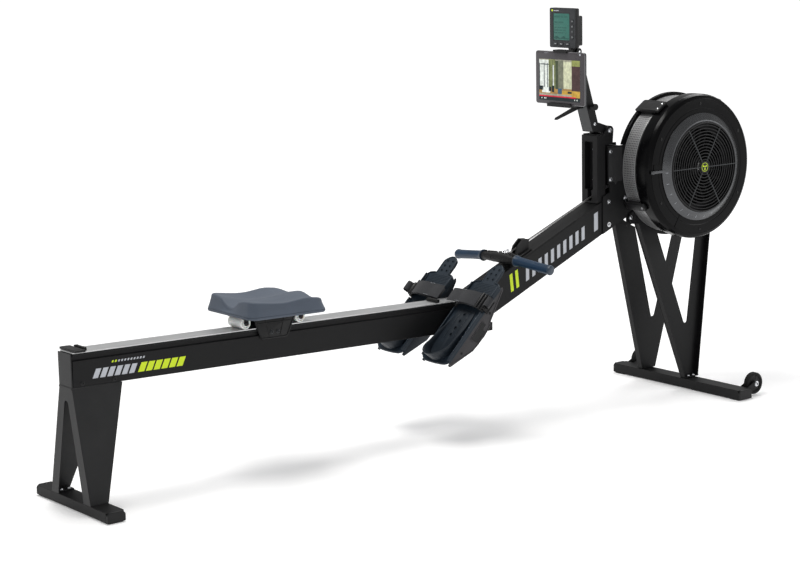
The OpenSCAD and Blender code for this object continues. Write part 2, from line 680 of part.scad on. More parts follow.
/* ---------- handle ---------- */
grip_in = [1475, 72, 500];
grip_out = [1490, 219, 484];
module handle_core() color([0.07, 0.07, 0.07]) at() difference() {
    union() {
        translate([1475, 0, 500]) ybar(16, -44, 44);
        sides() rod([1475, 40, 500], [1477, 80, 497.8], 16, 14.5);
        translate([1474, -26, 486]) cube([28, 52, 26]);
        // ribs round the two halves
        sides() for (y = [30 : 8 : 62]) translate([1475, y, 500]) ybar(17.5, -2, 2);
    }
    // slot that the chain's swivel turns in
    translate([1488, -5, 480]) cube([20, 10, 40]);
    for (s = [-1, 1]) translate([1482, s * 14, 470]) cylinder(r = 3.2, h = 60, $fn = 24);
}
module handle_grips() color([0.2, 0.28, 0.38]) at() sides() {
    difference() {
        rod(grip_in + (grip_out - grip_in) * 0.065, grip_out, 15.6, 14);
        rod(grip_in + (grip_out - grip_in) * 0.055, grip_out - (grip_out - grip_in) * 0.05, 12, 11);
    }
}

/* ---------- monitor ---------- */
arm_tilt = 17.5;
module arm_frame() at() translate([1870, 0, 862]) rotate([0, -arm_tilt, 0]) children();
module monitor_arm() color([0.13, 0.13, 0.14]) {
    arm_frame() {
        difference() {
            translate([-28, -24, 0]) cube([28, 48, 235]);
            translate([-25, -21, 6]) cube([22, 42, 222]);
        }
        // ears for the cradle
        for (y = [-19, 13]) translate([0, y, 0]) difference() {
            plate(0, 6) union() {
                polygon([[-28, 118], [-54, 128], [-54, 152], [-28, 164]]);
                translate([-54, 140]) circle(12);
            }
            translate([-54, 0, 140]) ybar(4 + fit, -10, 20, 32);
        }
        // knob boss on the flywheel side
        translate([-14, 0, 80]) ybar(5, -34, -23, 32);
        translate([-14, 0, 80]) ybar(10, -48, -34, 48);
    }
    at() {
        // knuckle that turns between the mast's ears
        difference() {
            union() {
                plate(-23, 23) polygon([[1846, 856], [1872, 850], [1906, 842], [1906, 869],
                    [1868, 882], [1848, 868]]);
                translate([1906, 0, 855]) ybar(15, -25.5, 25.5);
            }
            translate([1906, 0, 855]) ybar(5 + fit, -60, 60, 32);
        }
        // long release lever under the tablet
        plate(-4, 4) polygon([[1820, 941], [1800, 941], [1708, 907], [1706, 901], [1712, 901],
            [1806, 929], [1820, 929]]);
        // ears for the monitor
        for (y = [-19, 13]) difference() {
            plate(y, y + 6) union() {
                polygon([[1776, 1074], [1797, 1080], [1801, 1106], [1779, 1106]]);
                translate([1790, 1106]) circle(11);
            }
            translate([1790, 0, 1106]) ybar(4 + fit, -60, 60, 32);
        }
    }
}

mon_x = 1737;
mon_z = 1120;
module monitor_case() color([0.12, 0.13, 0.13]) at() {
    difference() {
        union() {
            translate([mon_x, -mon_w / 2, mon_z]) cube([19, mon_w, mon_h]);
            translate([mon_x + 19, -44, mon_z + 6]) cube([26, 88, mon_h - 30]);
        }
        // window of the screen
        translate([mon_x - 1, -33, mon_z + 22]) cube([3.1, 74, 84]);
        // wells of the buttons
        for (y = [30, 4, -24]) translate([mon_x - 1, y - 8.2, mon_z + 7.8]) cube([7.4, 16.4, 8.4]);
        for (z = [34, 50, 66, 82]) translate([mon_x - 1, -51.2, mon_z + z - 5.2])
            cube([7.4, 10.4, 10.4]);
    }
    // lug that turns between the arm's ears
    difference() {
        union() {
            plate(-12, 12) polygon([[1766, 1128], [1782, 1128], [1796, 1104], [1782, 1100]]);
            translate([1790, 0, 1106]) ybar(11, -12, 12, 48);
            translate([1790, 0, 1106]) ybar(4, -21, 21, 32);
        }
    }
}
module monitor_screen() color([0.28, 0.46, 0.42]) at()
    translate([mon_x + 0.4, -32.8, mon_z + 22.2]) cube([1.6, 73.6, 83.6]);
module bottom_button(y) color([0.35, 0.36, 0.38]) at()
    translate([mon_x - 1.6, y - 8, mon_z + 8]) cube([6, 16, 8]);
module side_button(z) color([0.35, 0.36, 0.38]) at()
    translate([mon_x - 1.6, -51, mon_z + z - 5]) cube([6, 10, 10]);
module bottom_button_1() bottom_button(30);
module bottom_button_2() bottom_button(4);
module bottom_button_3() bottom_button(-24);
module side_button_1() side_button(34);
module side_button_2() side_button(50);
module side_button_3() side_button(66);
module side_button_4() side_button(82);

tab_x = 1727;
tab_z = 946;
hinge_p = [1870 - 54 * cos(arm_tilt) - 140 * sin(arm_tilt), 862 - 54 * sin(arm_tilt)
    + 140 * cos(arm_tilt)];
module device_cradle() color([0.06, 0.06, 0.07]) at() {
    // back plate, lip and neck
    translate([tab_x + 8.3, -62, tab_z + 20]) cube([5, 124, 132]);
    translate([tab_x - 8, -52, tab_z - 6.4]) cube([30, 104, 6]);
    translate([tab_x - 8, -52, tab_z - 1]) cube([6, 104, 5]);
    translate([tab_x + 8.3, -52, tab_z - 6]) cube([5, 104, 40]);
    plate(-12.5, 12.5) polygon([[tab_x + 12, hinge_p[1] + 12], [hinge_p[0], hinge_p[1] + 12],
        [hinge_p[0], hinge_p[1] - 12], [tab_x + 12, hinge_p[1] - 16]]);
    translate([hinge_p[0], 0, hinge_p[1]]) ybar(12, -12.5, 12.5, 48);
    translate([hinge_p[0], 0, hinge_p[1]]) ybar(4, -21, 21, 32);
}
module tablet() color([0.14, 0.14, 0.16]) at() translate([tab_x, 0, tab_z + tab_h / 2])
    rotate([90, 0, 90]) linear_extrude(8) round_rect(tab_w, tab_h, 9);
module device_clip() color([0.06, 0.06, 0.07]) at() {
    translate([tab_x - 6, -34, tab_z + tab_h + 0.3]) cube([26, 60, 5]);
    translate([tab_x - 6, -34, tab_z + tab_h - 3.5]) cube([5.6, 60, 6.5]);
    translate([tab_x + 13.7, -24, tab_z + 90]) cube([4, 40, 77]);
}

/* ---------- latch ---------- */
module frame_latch() color([0.16, 0.16, 0.17]) at() {
    plate(-13.5, 13.5) polygon([[1340, 288], [1352, 288], [1358, 296], [1352, 300], [1338, 299],
        [1318, 294.6], [1262, 296], [1244, 293], [1236, 285], [1242, 284], [1262, 290]]);
    translate([1350, 0, 297]) ybar(4, -19, 19, 32);
    translate([1350, 0, 297]) ybar(7.5, -13.5, 13.5, 48);
}

boom();
mast();
flywheel_bracket();
front_leg_left();
front_leg_right();
front_foot_bar();
rear_leg();
rear_foot_bar();
foot_end_caps();
rubber_feet();
monorail();
seat_track();
rail_end_cap();
seat_stops();
foot_support();
footboard_left();
footboard_right();
foot_straps();
strap_buckles();
housing_shell_left();
housing_shell_right();
perforated_band();
union() { fan_grille(); grille_spokes(); }
housing_clips();
axle();
chain();
return_cord();
chain_guide();
handle_hook();
frame_bolts();
seat_pad();
seat_carriage();
seat_axles();
top_roller_rear();
top_roller_front();
lower_rollers_rear();
lower_rollers_front();
handle_core();
handle_grips();
sprocket();
flywheel_fan();
damper_ring();
monitor_arm();
monitor_case();
monitor_screen();
device_cradle();
tablet();
device_clip();
wheel_left();
wheel_right();
heel_rest_left();
heel_rest_right();
frame_latch();
bottom_button_1();
bottom_button_2();
bottom_button_3();
side_button_1();
side_button_2();
side_button_3();
side_button_4();
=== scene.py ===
from math import asin, atan2, ceil, copysign, cos, pi, radians, sin, tan

import bmesh
import bpy
from mathutils import Matrix, Vector


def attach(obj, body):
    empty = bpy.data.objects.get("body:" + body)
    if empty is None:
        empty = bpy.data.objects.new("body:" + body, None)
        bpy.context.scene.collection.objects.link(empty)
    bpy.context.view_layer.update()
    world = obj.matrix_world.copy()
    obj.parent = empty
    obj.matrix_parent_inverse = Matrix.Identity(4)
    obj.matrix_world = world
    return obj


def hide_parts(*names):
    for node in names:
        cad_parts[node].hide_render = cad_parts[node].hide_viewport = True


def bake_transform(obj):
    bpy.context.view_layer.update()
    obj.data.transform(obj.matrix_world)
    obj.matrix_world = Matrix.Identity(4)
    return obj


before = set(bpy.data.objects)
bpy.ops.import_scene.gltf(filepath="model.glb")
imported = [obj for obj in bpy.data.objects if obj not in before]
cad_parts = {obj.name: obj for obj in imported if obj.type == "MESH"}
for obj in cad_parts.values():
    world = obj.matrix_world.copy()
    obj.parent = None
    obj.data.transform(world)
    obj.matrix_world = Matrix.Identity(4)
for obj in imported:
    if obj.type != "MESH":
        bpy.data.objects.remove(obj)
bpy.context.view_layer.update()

# ---------------------------------------------------------------- places
# Stations are metres from the rear foot's centre; DX, DY move them to the shared frame.
DX, DY = -1.1865, 0.0645
MM = 0.001
ID = Matrix.Identity(4)


def W(x, y, z):
    return Vector((x + DX, y + DY, z))


def move(*p):
    return Matrix.Translation(p)


def turn(deg, axis="Y"):
    return Matrix.Rotation(radians(deg), 4, axis)


def facing(at, d):
    """Stands the Z axis at a place, along d."""
    return Matrix.Translation(Vector(at)) @ Vector(d).to_track_quat("Z", "Y").to_matrix().to_4x4()


RAIL = move(*W(0, 0, 0.427)) @ turn(1.404)
BOOM = move(*W(1.318, 0, 0.296)) @ turn(-23.1)
AXLE = move(*W(2.171, 0, 0.729))
ARM = move(*W(1.870, 0, 0.862)) @ turn(-17.5)
SEAT = RAIL @ move(0.614, 0, 0)
ROOT = move(*W(0, 0, 0))


def link_object(name, data):
    o = bpy.data.objects.new(name, data)
    bpy.context.collection.objects.link(o)
    return o


# ---------------------------------------------------------------- camera and light
def add_camera():
    c = bpy.data.cameras.new("camera")
    o = link_object("camera", c)
    c.sensor_width = 36.0
    c.lens = 93.594
    c.shift_x, c.shift_y = -0.003185, 0.000868
    c.clip_start, c.clip_end = 0.1, 100
    f = Vector((0.60586889, 0.77585539, -0.17598663)).normalized()
    r = f.cross(Vector((0, 0, 1))).normalized()
    m = Matrix((r, r.cross(f), -f)).transposed().to_4x4()
    # the photograph leans a little
    m = m @ turn(ROLL, "Z")
    m.translation = W(-2.59685, -4.73228, 1.54098)
    o.matrix_world = m
    bpy.context.scene.camera = o


def area(name, loc, target, size, power, color=(1, 1, 1), size_y=None):
    d = bpy.data.lights.new(name, "AREA")
    d.energy, d.color, d.shape = power, color, "RECTANGLE"
    d.size, d.size_y = size, size_y or size
    o = link_object(name, d)
    o.location = loc
    o.rotation_euler = (Vector(target) - Vector(loc)).to_track_quat("-Z", "Y").to_euler()


ROLL = -1.1111
add_camera()
area("key", (-0.7, 0.5, 4.6), (0.0, 0.05, 0.3), 2.2, 150, (1.0, 0.99, 0.97), 1.6)
area("fill", (-3.6, -4.2, 1.6), (0, 0, 0.5), 2.2, 16, (0.95, 0.97, 1.0))
area("rim", (3.0, 1.0, 3.2), (0.8, 0, 0.7), 1.6, 42)
area("side", (3.8, -2.4, 1.6), (0.9, 0, 0.6), 1.2, 22)

world = bpy.data.worlds.new("world")
bpy.context.scene.world = world
world.use_nodes = True
world.node_tree.nodes["Background"].inputs[0].default_value = (1.0, 1.0, 1.0, 1)
world.node_tree.nodes["Background"].inputs[1].default_value = 0.42
try:
    bpy.context.scene.view_settings.view_transform = "Standard"
except TypeError:
    pass
bpy.context.scene.view_settings.exposure = 0.0


# ---------------------------------------------------------------- materials
class Mat:
    """A small builder for node materials: base colour, roughness and bump from procedural nodes."""

    def __init__(self, name, **sockets):
        self.m = bpy.data.materials.new(name)
        self.m.use_nodes = True
        self.t = self.m.node_tree
        self.b = self.t.nodes["Principled BSDF"]
        for k, v in sockets.items():
            self.b.inputs[k.replace("_", " ")].default_value = v
        self.co = self.t.nodes.new("ShaderNodeTexCoord")

    def node(self, kind, **props):
        n = self.t.nodes.new("ShaderNode" + kind)
        for k, v in props.items():
            if hasattr(n, k):
                setattr(n, k, v)
            else:
                n.inputs[k.replace("_", " ")].default_value = v
        return n

    def link(self, a, b):
        self.t.links.new(a, b)

    def to(self, socket, out):
        self.link(out, self.b.inputs[socket])

    def coords(self, scale=(1, 1, 1), kind="Object"):
        n = self.node("Mapping", Scale=scale)
        self.link(self.co.outputs[kind], n.inputs["Vector"])
        return n.outputs["Vector"]

    def noise(self, scale, detail=3, rough=0.55, stretch=(1, 1, 1)):
        n = self.node("TexNoise", Scale=scale, Detail=detail, Roughness=rough)
        self.link(self.coords(stretch), n.inputs["Vector"])
        return n.outputs["Fac"]

    def ramp(self, fac, stops):
        n = self.node("ValToRGB")
        for e, (pos, col) in zip(n.color_ramp.elements, stops):
            e.position = pos
            e.color = (*col, 1)
        self.link(fac, n.inputs["Fac"])
        return n.outputs["Color"]

    def drift(self, fac, col, lo, hi, a=0.3, b=0.7):
        """A colour that changes by noise between two shades of itself."""
        return self.ramp(fac, [(a, shade(col, lo)), (b, shade(col, hi))])

    def span(self, fac, a, b):
        n = self.node("MapRange", From_Min=0.3, From_Max=0.7, To_Min=a, To_Max=b)
        self.link(fac, n.inputs["Value"])
        return n.outputs["Result"]

    def math(self, op, a, b):
        n = self.node("Math", operation=op)
        for i, v in enumerate((a, b)):
            if isinstance(v, float):
                n.inputs[i].default_value = v
            else:
                self.link(v, n.inputs[i])
        return n.outputs[0]

    def mix(self, a, share, b):
        return self.math("ADD", self.math("MULTIPLY", a, share), self.math("MULTIPLY", b, 1 - share))

    def bump(self, height, strength, distance):
        n = self.node("Bump", Strength=strength, Distance=distance)
        self.link(height, n.inputs["Height"])
        self.to("Normal", n.outputs["Normal"])


def shade(c, k):
    return tuple(min(1.0, v * k) for v in c)


def mottled(name, col, rough, metal=0.0, var=0.12, fine=700, bump=0.08, dist=0.0002, spec=0.5, big=18,
        **kw):
    """Painted or moulded surface: slow colour drift, fine grain in gloss and height."""
    m = Mat(name, Metallic=metal, Specular_IOR_Level=spec, **kw)
    n, g = m.noise(big, 4), m.noise(fine, 2)
    m.to("Base Color", m.drift(n, col, 1 - var, 1 + var))
    m.to("Roughness", m.span(m.mix(g, 0.6, n), rough - 0.06, rough + 0.06))
    m.bump(g, bump, dist)
    return m.m


def brushed(name, col, rough):
    """Metal brushed along X."""
    m = Mat(name, Metallic=1.0)
    n = m.noise(6, 5, 0.7, (1, 60, 60))
    m.to("Base Color", m.drift(n, col, 0.86, 1.1, 0.25, 0.75))
    m.to("Roughness", m.span(n, rough - 0.08, rough + 0.1))
    m.bump(n, 0.15, 0.0002)
    return m.m


def webbing(name, col):
    """Woven strap, laid out by its UV map in metres."""
    m = Mat(name, Roughness=0.85, Sheen_Weight=0.1, Sheen_Roughness=0.5)
    w1 = m.node("TexWave", wave_type="BANDS", bands_direction="X", Scale=1.0, Distortion=0.3)
    m.link(m.coords((160, 160, 160), "UV"), w1.inputs["Vector"])
    w2 = m.node("TexWave", wave_type="BANDS", bands_direction="DIAGONAL", Scale=1.0)
    m.link(m.coords((260, 120, 260), "UV"), w2.inputs["Vector"])
    h = m.math("MULTIPLY", w1.outputs["Fac"], w2.outputs["Fac"])
    m.to("Base Color", m.drift(m.mix(h, 0.75, m.noise(40, 3)), col, 0.55, 1.35, 0.05, 0.85))
    m.bump(h, 0.5, 0.0006)
    return m.m


def glow(name, col, strength):
    """A patch of a lit screen."""
    m = Mat(name, Roughness=0.3, Specular_IOR_Level=0.2)
    c = m.drift(m.noise(90, 3), shade(col, 0.62), 0.75, 1.25)
    m.to("Base Color", c)
    m.to("Emission Color", c)
    m.b.inputs["Emission Strength"].default_value = strength
    return m.m


# name, colour, roughness, metallic, colour drift, grain, its height, its depth, specular level
BLACK = mottled("powder_black", (0.0050, 0.0051, 0.0056), 0.52, 0, 0.15, 1100, 0.10, 0.00015, 0.22)
BLACK2 = mottled("powder_black_leg", (0.0085, 0.0087, 0.0093), 0.44, 0, 0.12, 900, 0.12, 0.0002, 0.28)
# the rear leg's powder black is made lighter than the rest of the frame's: painted light on the rear leg
LEG_LIT = mottled("powder_black_rear_leg_lit", (0.0150, 0.0153, 0.0160), 0.46, 0, 0.12, 900, 0.12, 0.0002, 0.3)
HOUSING = mottled("housing_black", (0.0018, 0.0018, 0.0021), 0.21, 0, 0.1, 500, 0.04, 0.0002, 0.09)
PLASTIC = mottled("plastic_black", (0.0072, 0.0072, 0.0078), 0.46, 0, 0.12, 1500, 0.2, 0.0002, 0.28)
CARBON = mottled("plastic_charcoal", (0.040, 0.038, 0.041), 0.55, 0, 0.1, 1500, 0.25, 0.0003, 0.3)
TRACK = brushed("track_steel", (0.62, 0.625, 0.63), 0.40)
BAND = mottled("band_grey", (0.36, 0.36, 0.365), 0.46, 0.7, 0.08, 600, 0.05, 0.0002, 0.3)
DAMPER = mottled("damper_grey", (0.088, 0.090, 0.094), 0.27, 0.9, 0.08, 900, 0.02, 0.0002, 0.3)
RUBBER = mottled("rubber_black", (0.0065, 0.0065, 0.0065), 0.7, 0, 0.2, 700, 0.35, 0.0004, 0.25)
FOAM = mottled("seat_foam", (0.066, 0.083, 0.112), 0.60, 0, 0.06, 1300, 0.28, 0.0003, 0.3, 9,
               Sheen_Weight=0.08, Sheen_Roughness=0.6)
SLATE = mottled("slate_plastic", (0.0130, 0.0210, 0.0310), 0.46, 0, 0.1, 1100, 0.25, 0.0003, 0.24)
SLATE2 = mottled("slate_dark", (0.0100, 0.0150, 0.0215), 0.42, 0, 0.12, 1100, 0.2, 0.0003, 0.3)
GRIP = mottled("grip_blue", (0.011, 0.031, 0.064), 0.38, 0, 0.12, 1000, 0.2, 0.0003, 0.26)
GRIP2 = mottled("grip_end", (0.013, 0.030, 0.056), 0.42, 0, 0.12, 1000, 0.2, 0.0003, Coat_Weight=0.2,
                Coat_Roughness=0.35)
WEB = webbing("strap_webbing", (0.020, 0.021, 0.025))
CHROME = mottled("bright_zinc", (0.62, 0.63, 0.65), 0.22, 1, 0.05, 400, 0.04)
CHAIN = mottled("chain_nickel", (0.36, 0.355, 0.35), 0.32, 1, 0.15, 300, 0.1)
# the cast fan is drawn near black and not metallic: painted shade for the dark inside of the housing
CAST_IN_SHADE = mottled("cast_aluminium_in_shade", (0.012, 0.012, 0.013), 0.6, 0, 0.1, 260, 0.3, 0.0004, 0.2)
NYLON = mottled("white_nylon", (0.80, 0.80, 0.78), 0.33, 0, 0.03, 300, 0.04, Subsurface_Weight=0.1)
LIME = mottled("decal_lime", (0.62, 0.80, 0.0), 0.4, 0, 0.03, 500, 0.05)
PALE = mottled("decal_pale", (0.48, 0.50, 0.54), 0.4, 0, 0.04, 500, 0.05)
KEY = mottled("key_grey", (0.030, 0.033, 0.036), 0.6, 0, 0.05, 1300, 0.2)
KEYMARK = mottled("key_mark", (0.35, 0.37, 0.38), 0.6, 0, 0.05, 1300, 0.1)
LCD = mottled("lcd_teal", (0.042, 0.150, 0.122), 0.30, 0, 0.1, 2000, 0.02, 0.0002, 0.25, 12)
LCDINK = mottled("lcd_ink", (0.014, 0.055, 0.046), 0.35, 0, 0.1, 900, 0.02, 0.0002, 0.25)
LCDINK2 = mottled("lcd_ink_faint", (0.030, 0.112, 0.092), 0.35, 0, 0.1, 900, 0.02, 0.0002, 0.25)
COVER = mottled("cover_grey", (0.019, 0.0192, 0.020), 0.5, 0, 0.1, 1200, 0.15, 0.0002, 0.3)
MONGREY = mottled("monitor_bezel", (0.026, 0.028, 0.031), 0.5, 0, 0.1, 1500, 0.2, 0.0002, 0.35)
TABGLASS = mottled("tablet_bezel", (0.050, 0.045, 0.050), 0.3, 0, 0.08, 400, 0.02, 0.0002, 0.4)
ALU = mottled("rim_aluminium", (0.30, 0.30, 0.31), 0.35, 0.9, 0.06, 900, 0.05)
ARMGREY = mottled("arm_face", (0.045, 0.047, 0.049), 0.42, 0.4, 0.08, 900, 0.08)
PICS = {k: glow("pic_" + k, c, 0.5 if k in ("light", "red") else 0.4) for k, c in {
    "wall": (0.40, 0.39, 0.30), "floor": (0.42, 0.24, 0.07), "light": (0.80, 0.85, 0.80),
    "mullion": (0.04, 0.06, 0.07), "curtain": (0.26, 0.29, 0.12), "fold": (0.07, 0.09, 0.05),
    "curtain2": (0.20, 0.21, 0.15), "cream": (0.68, 0.70, 0.48), "brown": (0.075, 0.040, 0.040),
    "olive": (0.30, 0.33, 0.10), "dark": (0.012, 0.022, 0.025), "blue": (0.05, 0.12, 0.20),
    "ochre": (0.62, 0.38, 0.06), "red": (0.70, 0.015, 0.05)}.items()}

# CAD nodes that show as they are: material and the width, in mm, of their rounded edges
SHOWN = {
    "boom": (BLACK, 2.2), "monorail": (BLACK, 1.6), "mast": (BLACK, 1.6), "flywheel_bracket": (BLACK,
        1.2),
    "front_leg_left": (BLACK, 1.2), "front_leg_right": (BLACK, 1.2), "rear_leg": (LEG_LIT, 1.2),
    "front_foot_bar": (BLACK, 1.8), "rear_foot_bar": (BLACK, 1.8), "foot_support": (BLACK, 1.0),
    "monitor_arm": (BLACK, 1.4), "frame_latch": (BLACK, 1.0), "foot_end_caps": (PLASTIC, 1.8),
    "rail_end_cap": (PLASTIC, 1.2), "chain_guide": (PLASTIC, 0.8), "handle_hook": (PLASTIC, 1.4),
    "device_cradle": (PLASTIC, 0.9), "device_clip": (PLASTIC, 0.9), "housing_shell_left": (HOUSING,
        0.8),
    "seat_track": (TRACK, 0.6), "rubber_feet": (RUBBER, 1.0), "lower_rollers_rear": (NYLON, 0.8),
    "lower_rollers_front": (NYLON, 0.8), "axle": (CHAIN, 0)}
for name_, (mat_, width_) in SHOWN.items():
    o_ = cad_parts[name_]
    o_.data.materials.clear()
    o_.data.materials.append(mat_)
    if width_:
        # rounds the hard edges with modifiers; the node's own mesh is left as packed
        o_.modifiers.new("weld", "WELD").merge_threshold = 0.00002
        bevel_ = o_.modifiers.new("bevel", "BEVEL")
        bevel_.width, bevel_.segments = width_ * MM, 2
        bevel_.limit_method, bevel_.angle_limit = "ANGLE", radians(32)
        bevel_.use_clamp_overlap = bevel_.harden_normals = True


# ---------------------------------------------------------------- mesh builders
def fillet(pts, r, n=4, closed=True):
    """Rounds the corners of an outline. A point may carry its own radius as a third number."""
    out, m = [], len(pts)
    for i, p in enumerate(pts):
        rr = p[2] if len(p) > 2 else r
        q = Vector(p[:2])
        a, b = Vector(pts[i - 1][:2]) - q, Vector(pts[(i + 1) % m][:2]) - q
        la, lb = a.length, b.length
        sharp = rr <= 0 or la < 1e-9 or lb < 1e-9 or not 0.02 <= a.angle(b) <= pi - 0.02
        if sharp or not closed and i in (0, m - 1):
            out.append(tuple(q))
            continue
        t = min(rr / tan(a.angle(b) / 2), la * 0.49, lb * 0.49)
        p0, p1 = q + a / la * t, q + b / lb * t
        for k in range(n + 1):
            s = k / n
            out.append(tuple(p0 * (1 - s) ** 2 + q * 2 * s * (1 - s) + p1 * s * s))
    return out


def rect(x0, z0, x1, z1, r=0.0, n=4):
    return fillet([(x0, z0), (x1, z0), (x1, z1), (x0, z1)], r, n)


def both(pts, mid=()):
    """One side of an outline, what lies between, and the side's mirror image across the long axis."""
    return list(pts) + list(mid) + [(p[0], -p[1], *p[2:]) for p in reversed(pts)]


def circle(r, n=24, cx=0.0, cy=0.0):
    return [(cx + r * cos(2 * pi * i / n), cy + r * sin(2 * pi * i / n)) for i in range(n)]


def spline(P, i, t):
    """The Catmull-Rom curve through P, a share t of the way from P[i] to P[i + 1]."""
    p0, p1, p2, p3 = P[max(i - 1, 0)], P[i], P[i + 1], P[min(i + 2, len(P) - 1)]
    return 0.5 * (2 * p1 + (p2 - p0) * t + (2 * p0 - 5 * p1 + 4 * p2 - p3) * t * t
                  + (3 * p1 - p0 - 3 * p2 + p3) * t ** 3)


def smooth_path(pts, n=8):
    P = [Vector(p) for p in pts]
    return [spline(P, i, k / n) for i in range(len(P) - 1) for k in range(n)] + [P[-1]]


def lerp_table(xs, vs, x):
    """Smooth interpolation of a table."""
    if x <= xs[0]:
        return vs[0]
    for i in range(len(xs) - 1):
        if x <= xs[i + 1]:
            return spline(vs, i, (x - xs[i]) / (xs[i + 1] - xs[i]))
    return vs[-1]


AXES = {"Z": ID, "Y": Matrix(((1, 0, 0, 0), (0, 0, 1, 0), (0, 1, 0, 0), (0, 0, 0, 1))),
        "X": Matrix(((0, 0, 1, 0), (1, 0, 0, 0), (0, 1, 0, 0), (0, 0, 0, 1)))}


class Build:
    """Collects primitives, in millimetres in the frame M, into one mesh."""

    def __init__(self, M=ROOT):
        self.bm = bmesh.new()
        self.M = M @ Matrix.Scale(MM, 4)
        self.mats = []

    def take(self, b, mat, M=ID, bevel=0.0, seg=2):
        bmesh.ops.recalc_face_normals(b, faces=b.faces)
        hard = [e for e in b.edges if bevel > 0 and len(e.link_faces) == 2
                and e.calc_face_angle(0) > radians(30)]
        if hard:
            bmesh.ops.bevel(b, geom=hard, offset=bevel, segments=seg, profile=0.5, affect="EDGES",
                            clamp_overlap=True)
        if mat not in self.mats:
            self.mats.append(mat)
        for f in b.faces:
            f.material_index = self.mats.index(mat)
            f.smooth = True
        b.transform(self.M @ M)
        if (self.M @ M).to_3x3().determinant() < 0:
            bmesh.ops.reverse_faces(b, faces=b.faces)
        me = bpy.data.meshes.new("tmp")
        b.to_mesh(me)
        b.free()
        self.bm.from_mesh(me)
        bpy.data.meshes.remove(me)
        return self

    def skin(self, rings, mat, M=ID, axis="Z", closed=False, caps="", bevel=0.0, seg=2):
        """Joins rings of the same number of points; a ring of one point is a pole."""
        b = bmesh.new()
        n = max(map(len, rings))
        R = []
        for ring in rings:
            vs = [b.verts.new(p) for p in ring]
            R.append(vs * n if len(vs) == 1 else vs)
        for A, B in zip(R, R[1:] + R[:closed]):
            for i in range(n):
                k = (i + 1) % n
                f = list(dict.fromkeys((A[i], A[k], B[k], B[i])))
                if len(f) > 2:
                    b.faces.new(f)
        for ring in (R[0], R[-1]) if caps else ():
            if caps == "flat":
                b.faces.new(ring)
                continue
            c = b.verts.new(sum((v.co for v in ring), Vector()) / n)
            for i in range(n):
                b.faces.new((ring[i], ring[(i + 1) % n], c))
        b.transform(AXES[axis])
        return self.take(b, mat, M, bevel, seg)

    def box(self, lo, hi, mat, bevel=0.6, seg=2, M=ID):
        b = bmesh.new()
        bmesh.ops.create_cube(b, size=1)
        lo, hi = Vector(lo), Vector(hi)
        b.transform(Matrix.Translation((lo + hi) / 2) @ Matrix.Diagonal((*(hi - lo), 1)))
        return self.take(b, mat, M, bevel, seg)

    def prism(self, outline, a, c, mat, axis="Y", bevel=0.5, seg=2, M=ID):
        """An outline pushed from a to c along an axis: (x, z) along Y, (x, y) along Z, (y, z) along X."""
        return self.skin([[(p[0], p[1], h) for p in outline] for h in (a, c)], mat, M, axis, False,
            "flat",
                         bevel, seg)

    def plate(self, outline, holes, a, c, mat, axis="Y", bevel=0.4, M=ID, res=2):
        """A flat plate with holes and rounded edges, by a filled curve."""
        cu = bpy.data.curves.new("tmp", "CURVE")
        cu.dimensions, cu.fill_mode = "2D", "BOTH"
        cu.extrude = abs(c - a) / 2 - bevel
        cu.bevel_depth, cu.bevel_resolution, cu.offset = bevel, res, -bevel
        for pts in [outline] + list(holes):
            sp = cu.splines.new("POLY")
            sp.points.add(len(pts) - 1)
            for q, p in zip(sp.points, pts):
                q.co = (p[0], p[1], 0, 1)
            sp.use_cyclic_u = True
        o = link_object("tmp", cu)
        bpy.context.view_layer.update()
        me = bpy.data.meshes.new_from_object(o.evaluated_get(bpy.context.evaluated_depsgraph_get()))
        bpy.data.objects.remove(o)
        bpy.data.curves.remove(cu)
        b = bmesh.new()
        b.from_mesh(me)
        bpy.data.meshes.remove(me)
        bmesh.ops.remove_doubles(b, verts=b.verts, dist=1e-4)
        b.transform(AXES[axis] @ move(0, 0, (a + c) / 2))
        return self.take(b, mat, M)

    def lathe(self, profile, mat, M=ID, seg=96, axis="Y", closed=True, rnd=0.0, n=4):
        """Turns a profile of (radius, place along the axis) about an axis through the origin."""
        prof = fillet(profile, rnd, n, closed) if rnd else [tuple(p[:2]) for p in profile]
        rings = [[(p[0], p[1], h) for p in circle(r, seg)] if r >= 1e-6 else [(0, 0, h)] for r,
            h in prof]
        return self.skin(rings, mat, M, axis, closed)

    def cyl(self, a, c, r, mat, seg=32, edge=0.5, hollow=0.0):
        """A round bar from a to c, its ends' edges rounded, or a tube."""
        a, c = Vector(a), Vector(c)
        L = (c - a).length
        e = min(edge, r * 0.45, L * 0.45)
        k = e * 0.3
        p = [(hollow, 0), (r - e, 0), (r - k, k), (r, e), (r, L - e), (r - k, L - k), (r - e, L),
            (hollow, L)]
        return self.lathe(p, mat, facing(a, c - a), seg, "Z", closed=hollow > 0)

    def loft(self, rings, mat, M=ID):
        return self.skin(rings, mat, M, caps="fan")

    def tube(self, path, r, mat, seg=8, closed=False, squash=1.0):
        """Sweeps a circle along a path; r may be a list with a radius for each point."""
        P = [Vector(p) for p in path]
        m, rings, nrm = len(P), [], None
        for i, p in enumerate(P):
            if closed:
                t = (P[(i + 1) % m] - P[i - 1]).normalized()
            else:
                t = (P[min(i + 1, m - 1)] - P[max(i - 1, 0)]).normalized()
            h = nrm or Vector((0, 0, 1) if abs(t.z) < 0.9 else (1, 0, 0))
            nrm = (h - t * h.dot(t)).normalized()
            rr = r[i] if isinstance(r, list) else r
            rings.append([p + nrm * (v * squash) + t.cross(nrm) * u for u, v in circle(rr, seg)])
        return self.skin(rings, mat, closed=closed, caps="" if closed else "fan")

    def bead(self, pts, h, r, mat, n=5, seg=8, axis="Z"):
        """A round bead along a smooth line on a face: (x, y) at height h, or (x, z) at y = h."""
        path = [(p.x, p.y, h) if axis == "Z" else (p.x, h, p.y) for p in smooth_path(pts, n)]
        return self.tube(path, r, mat, seg)

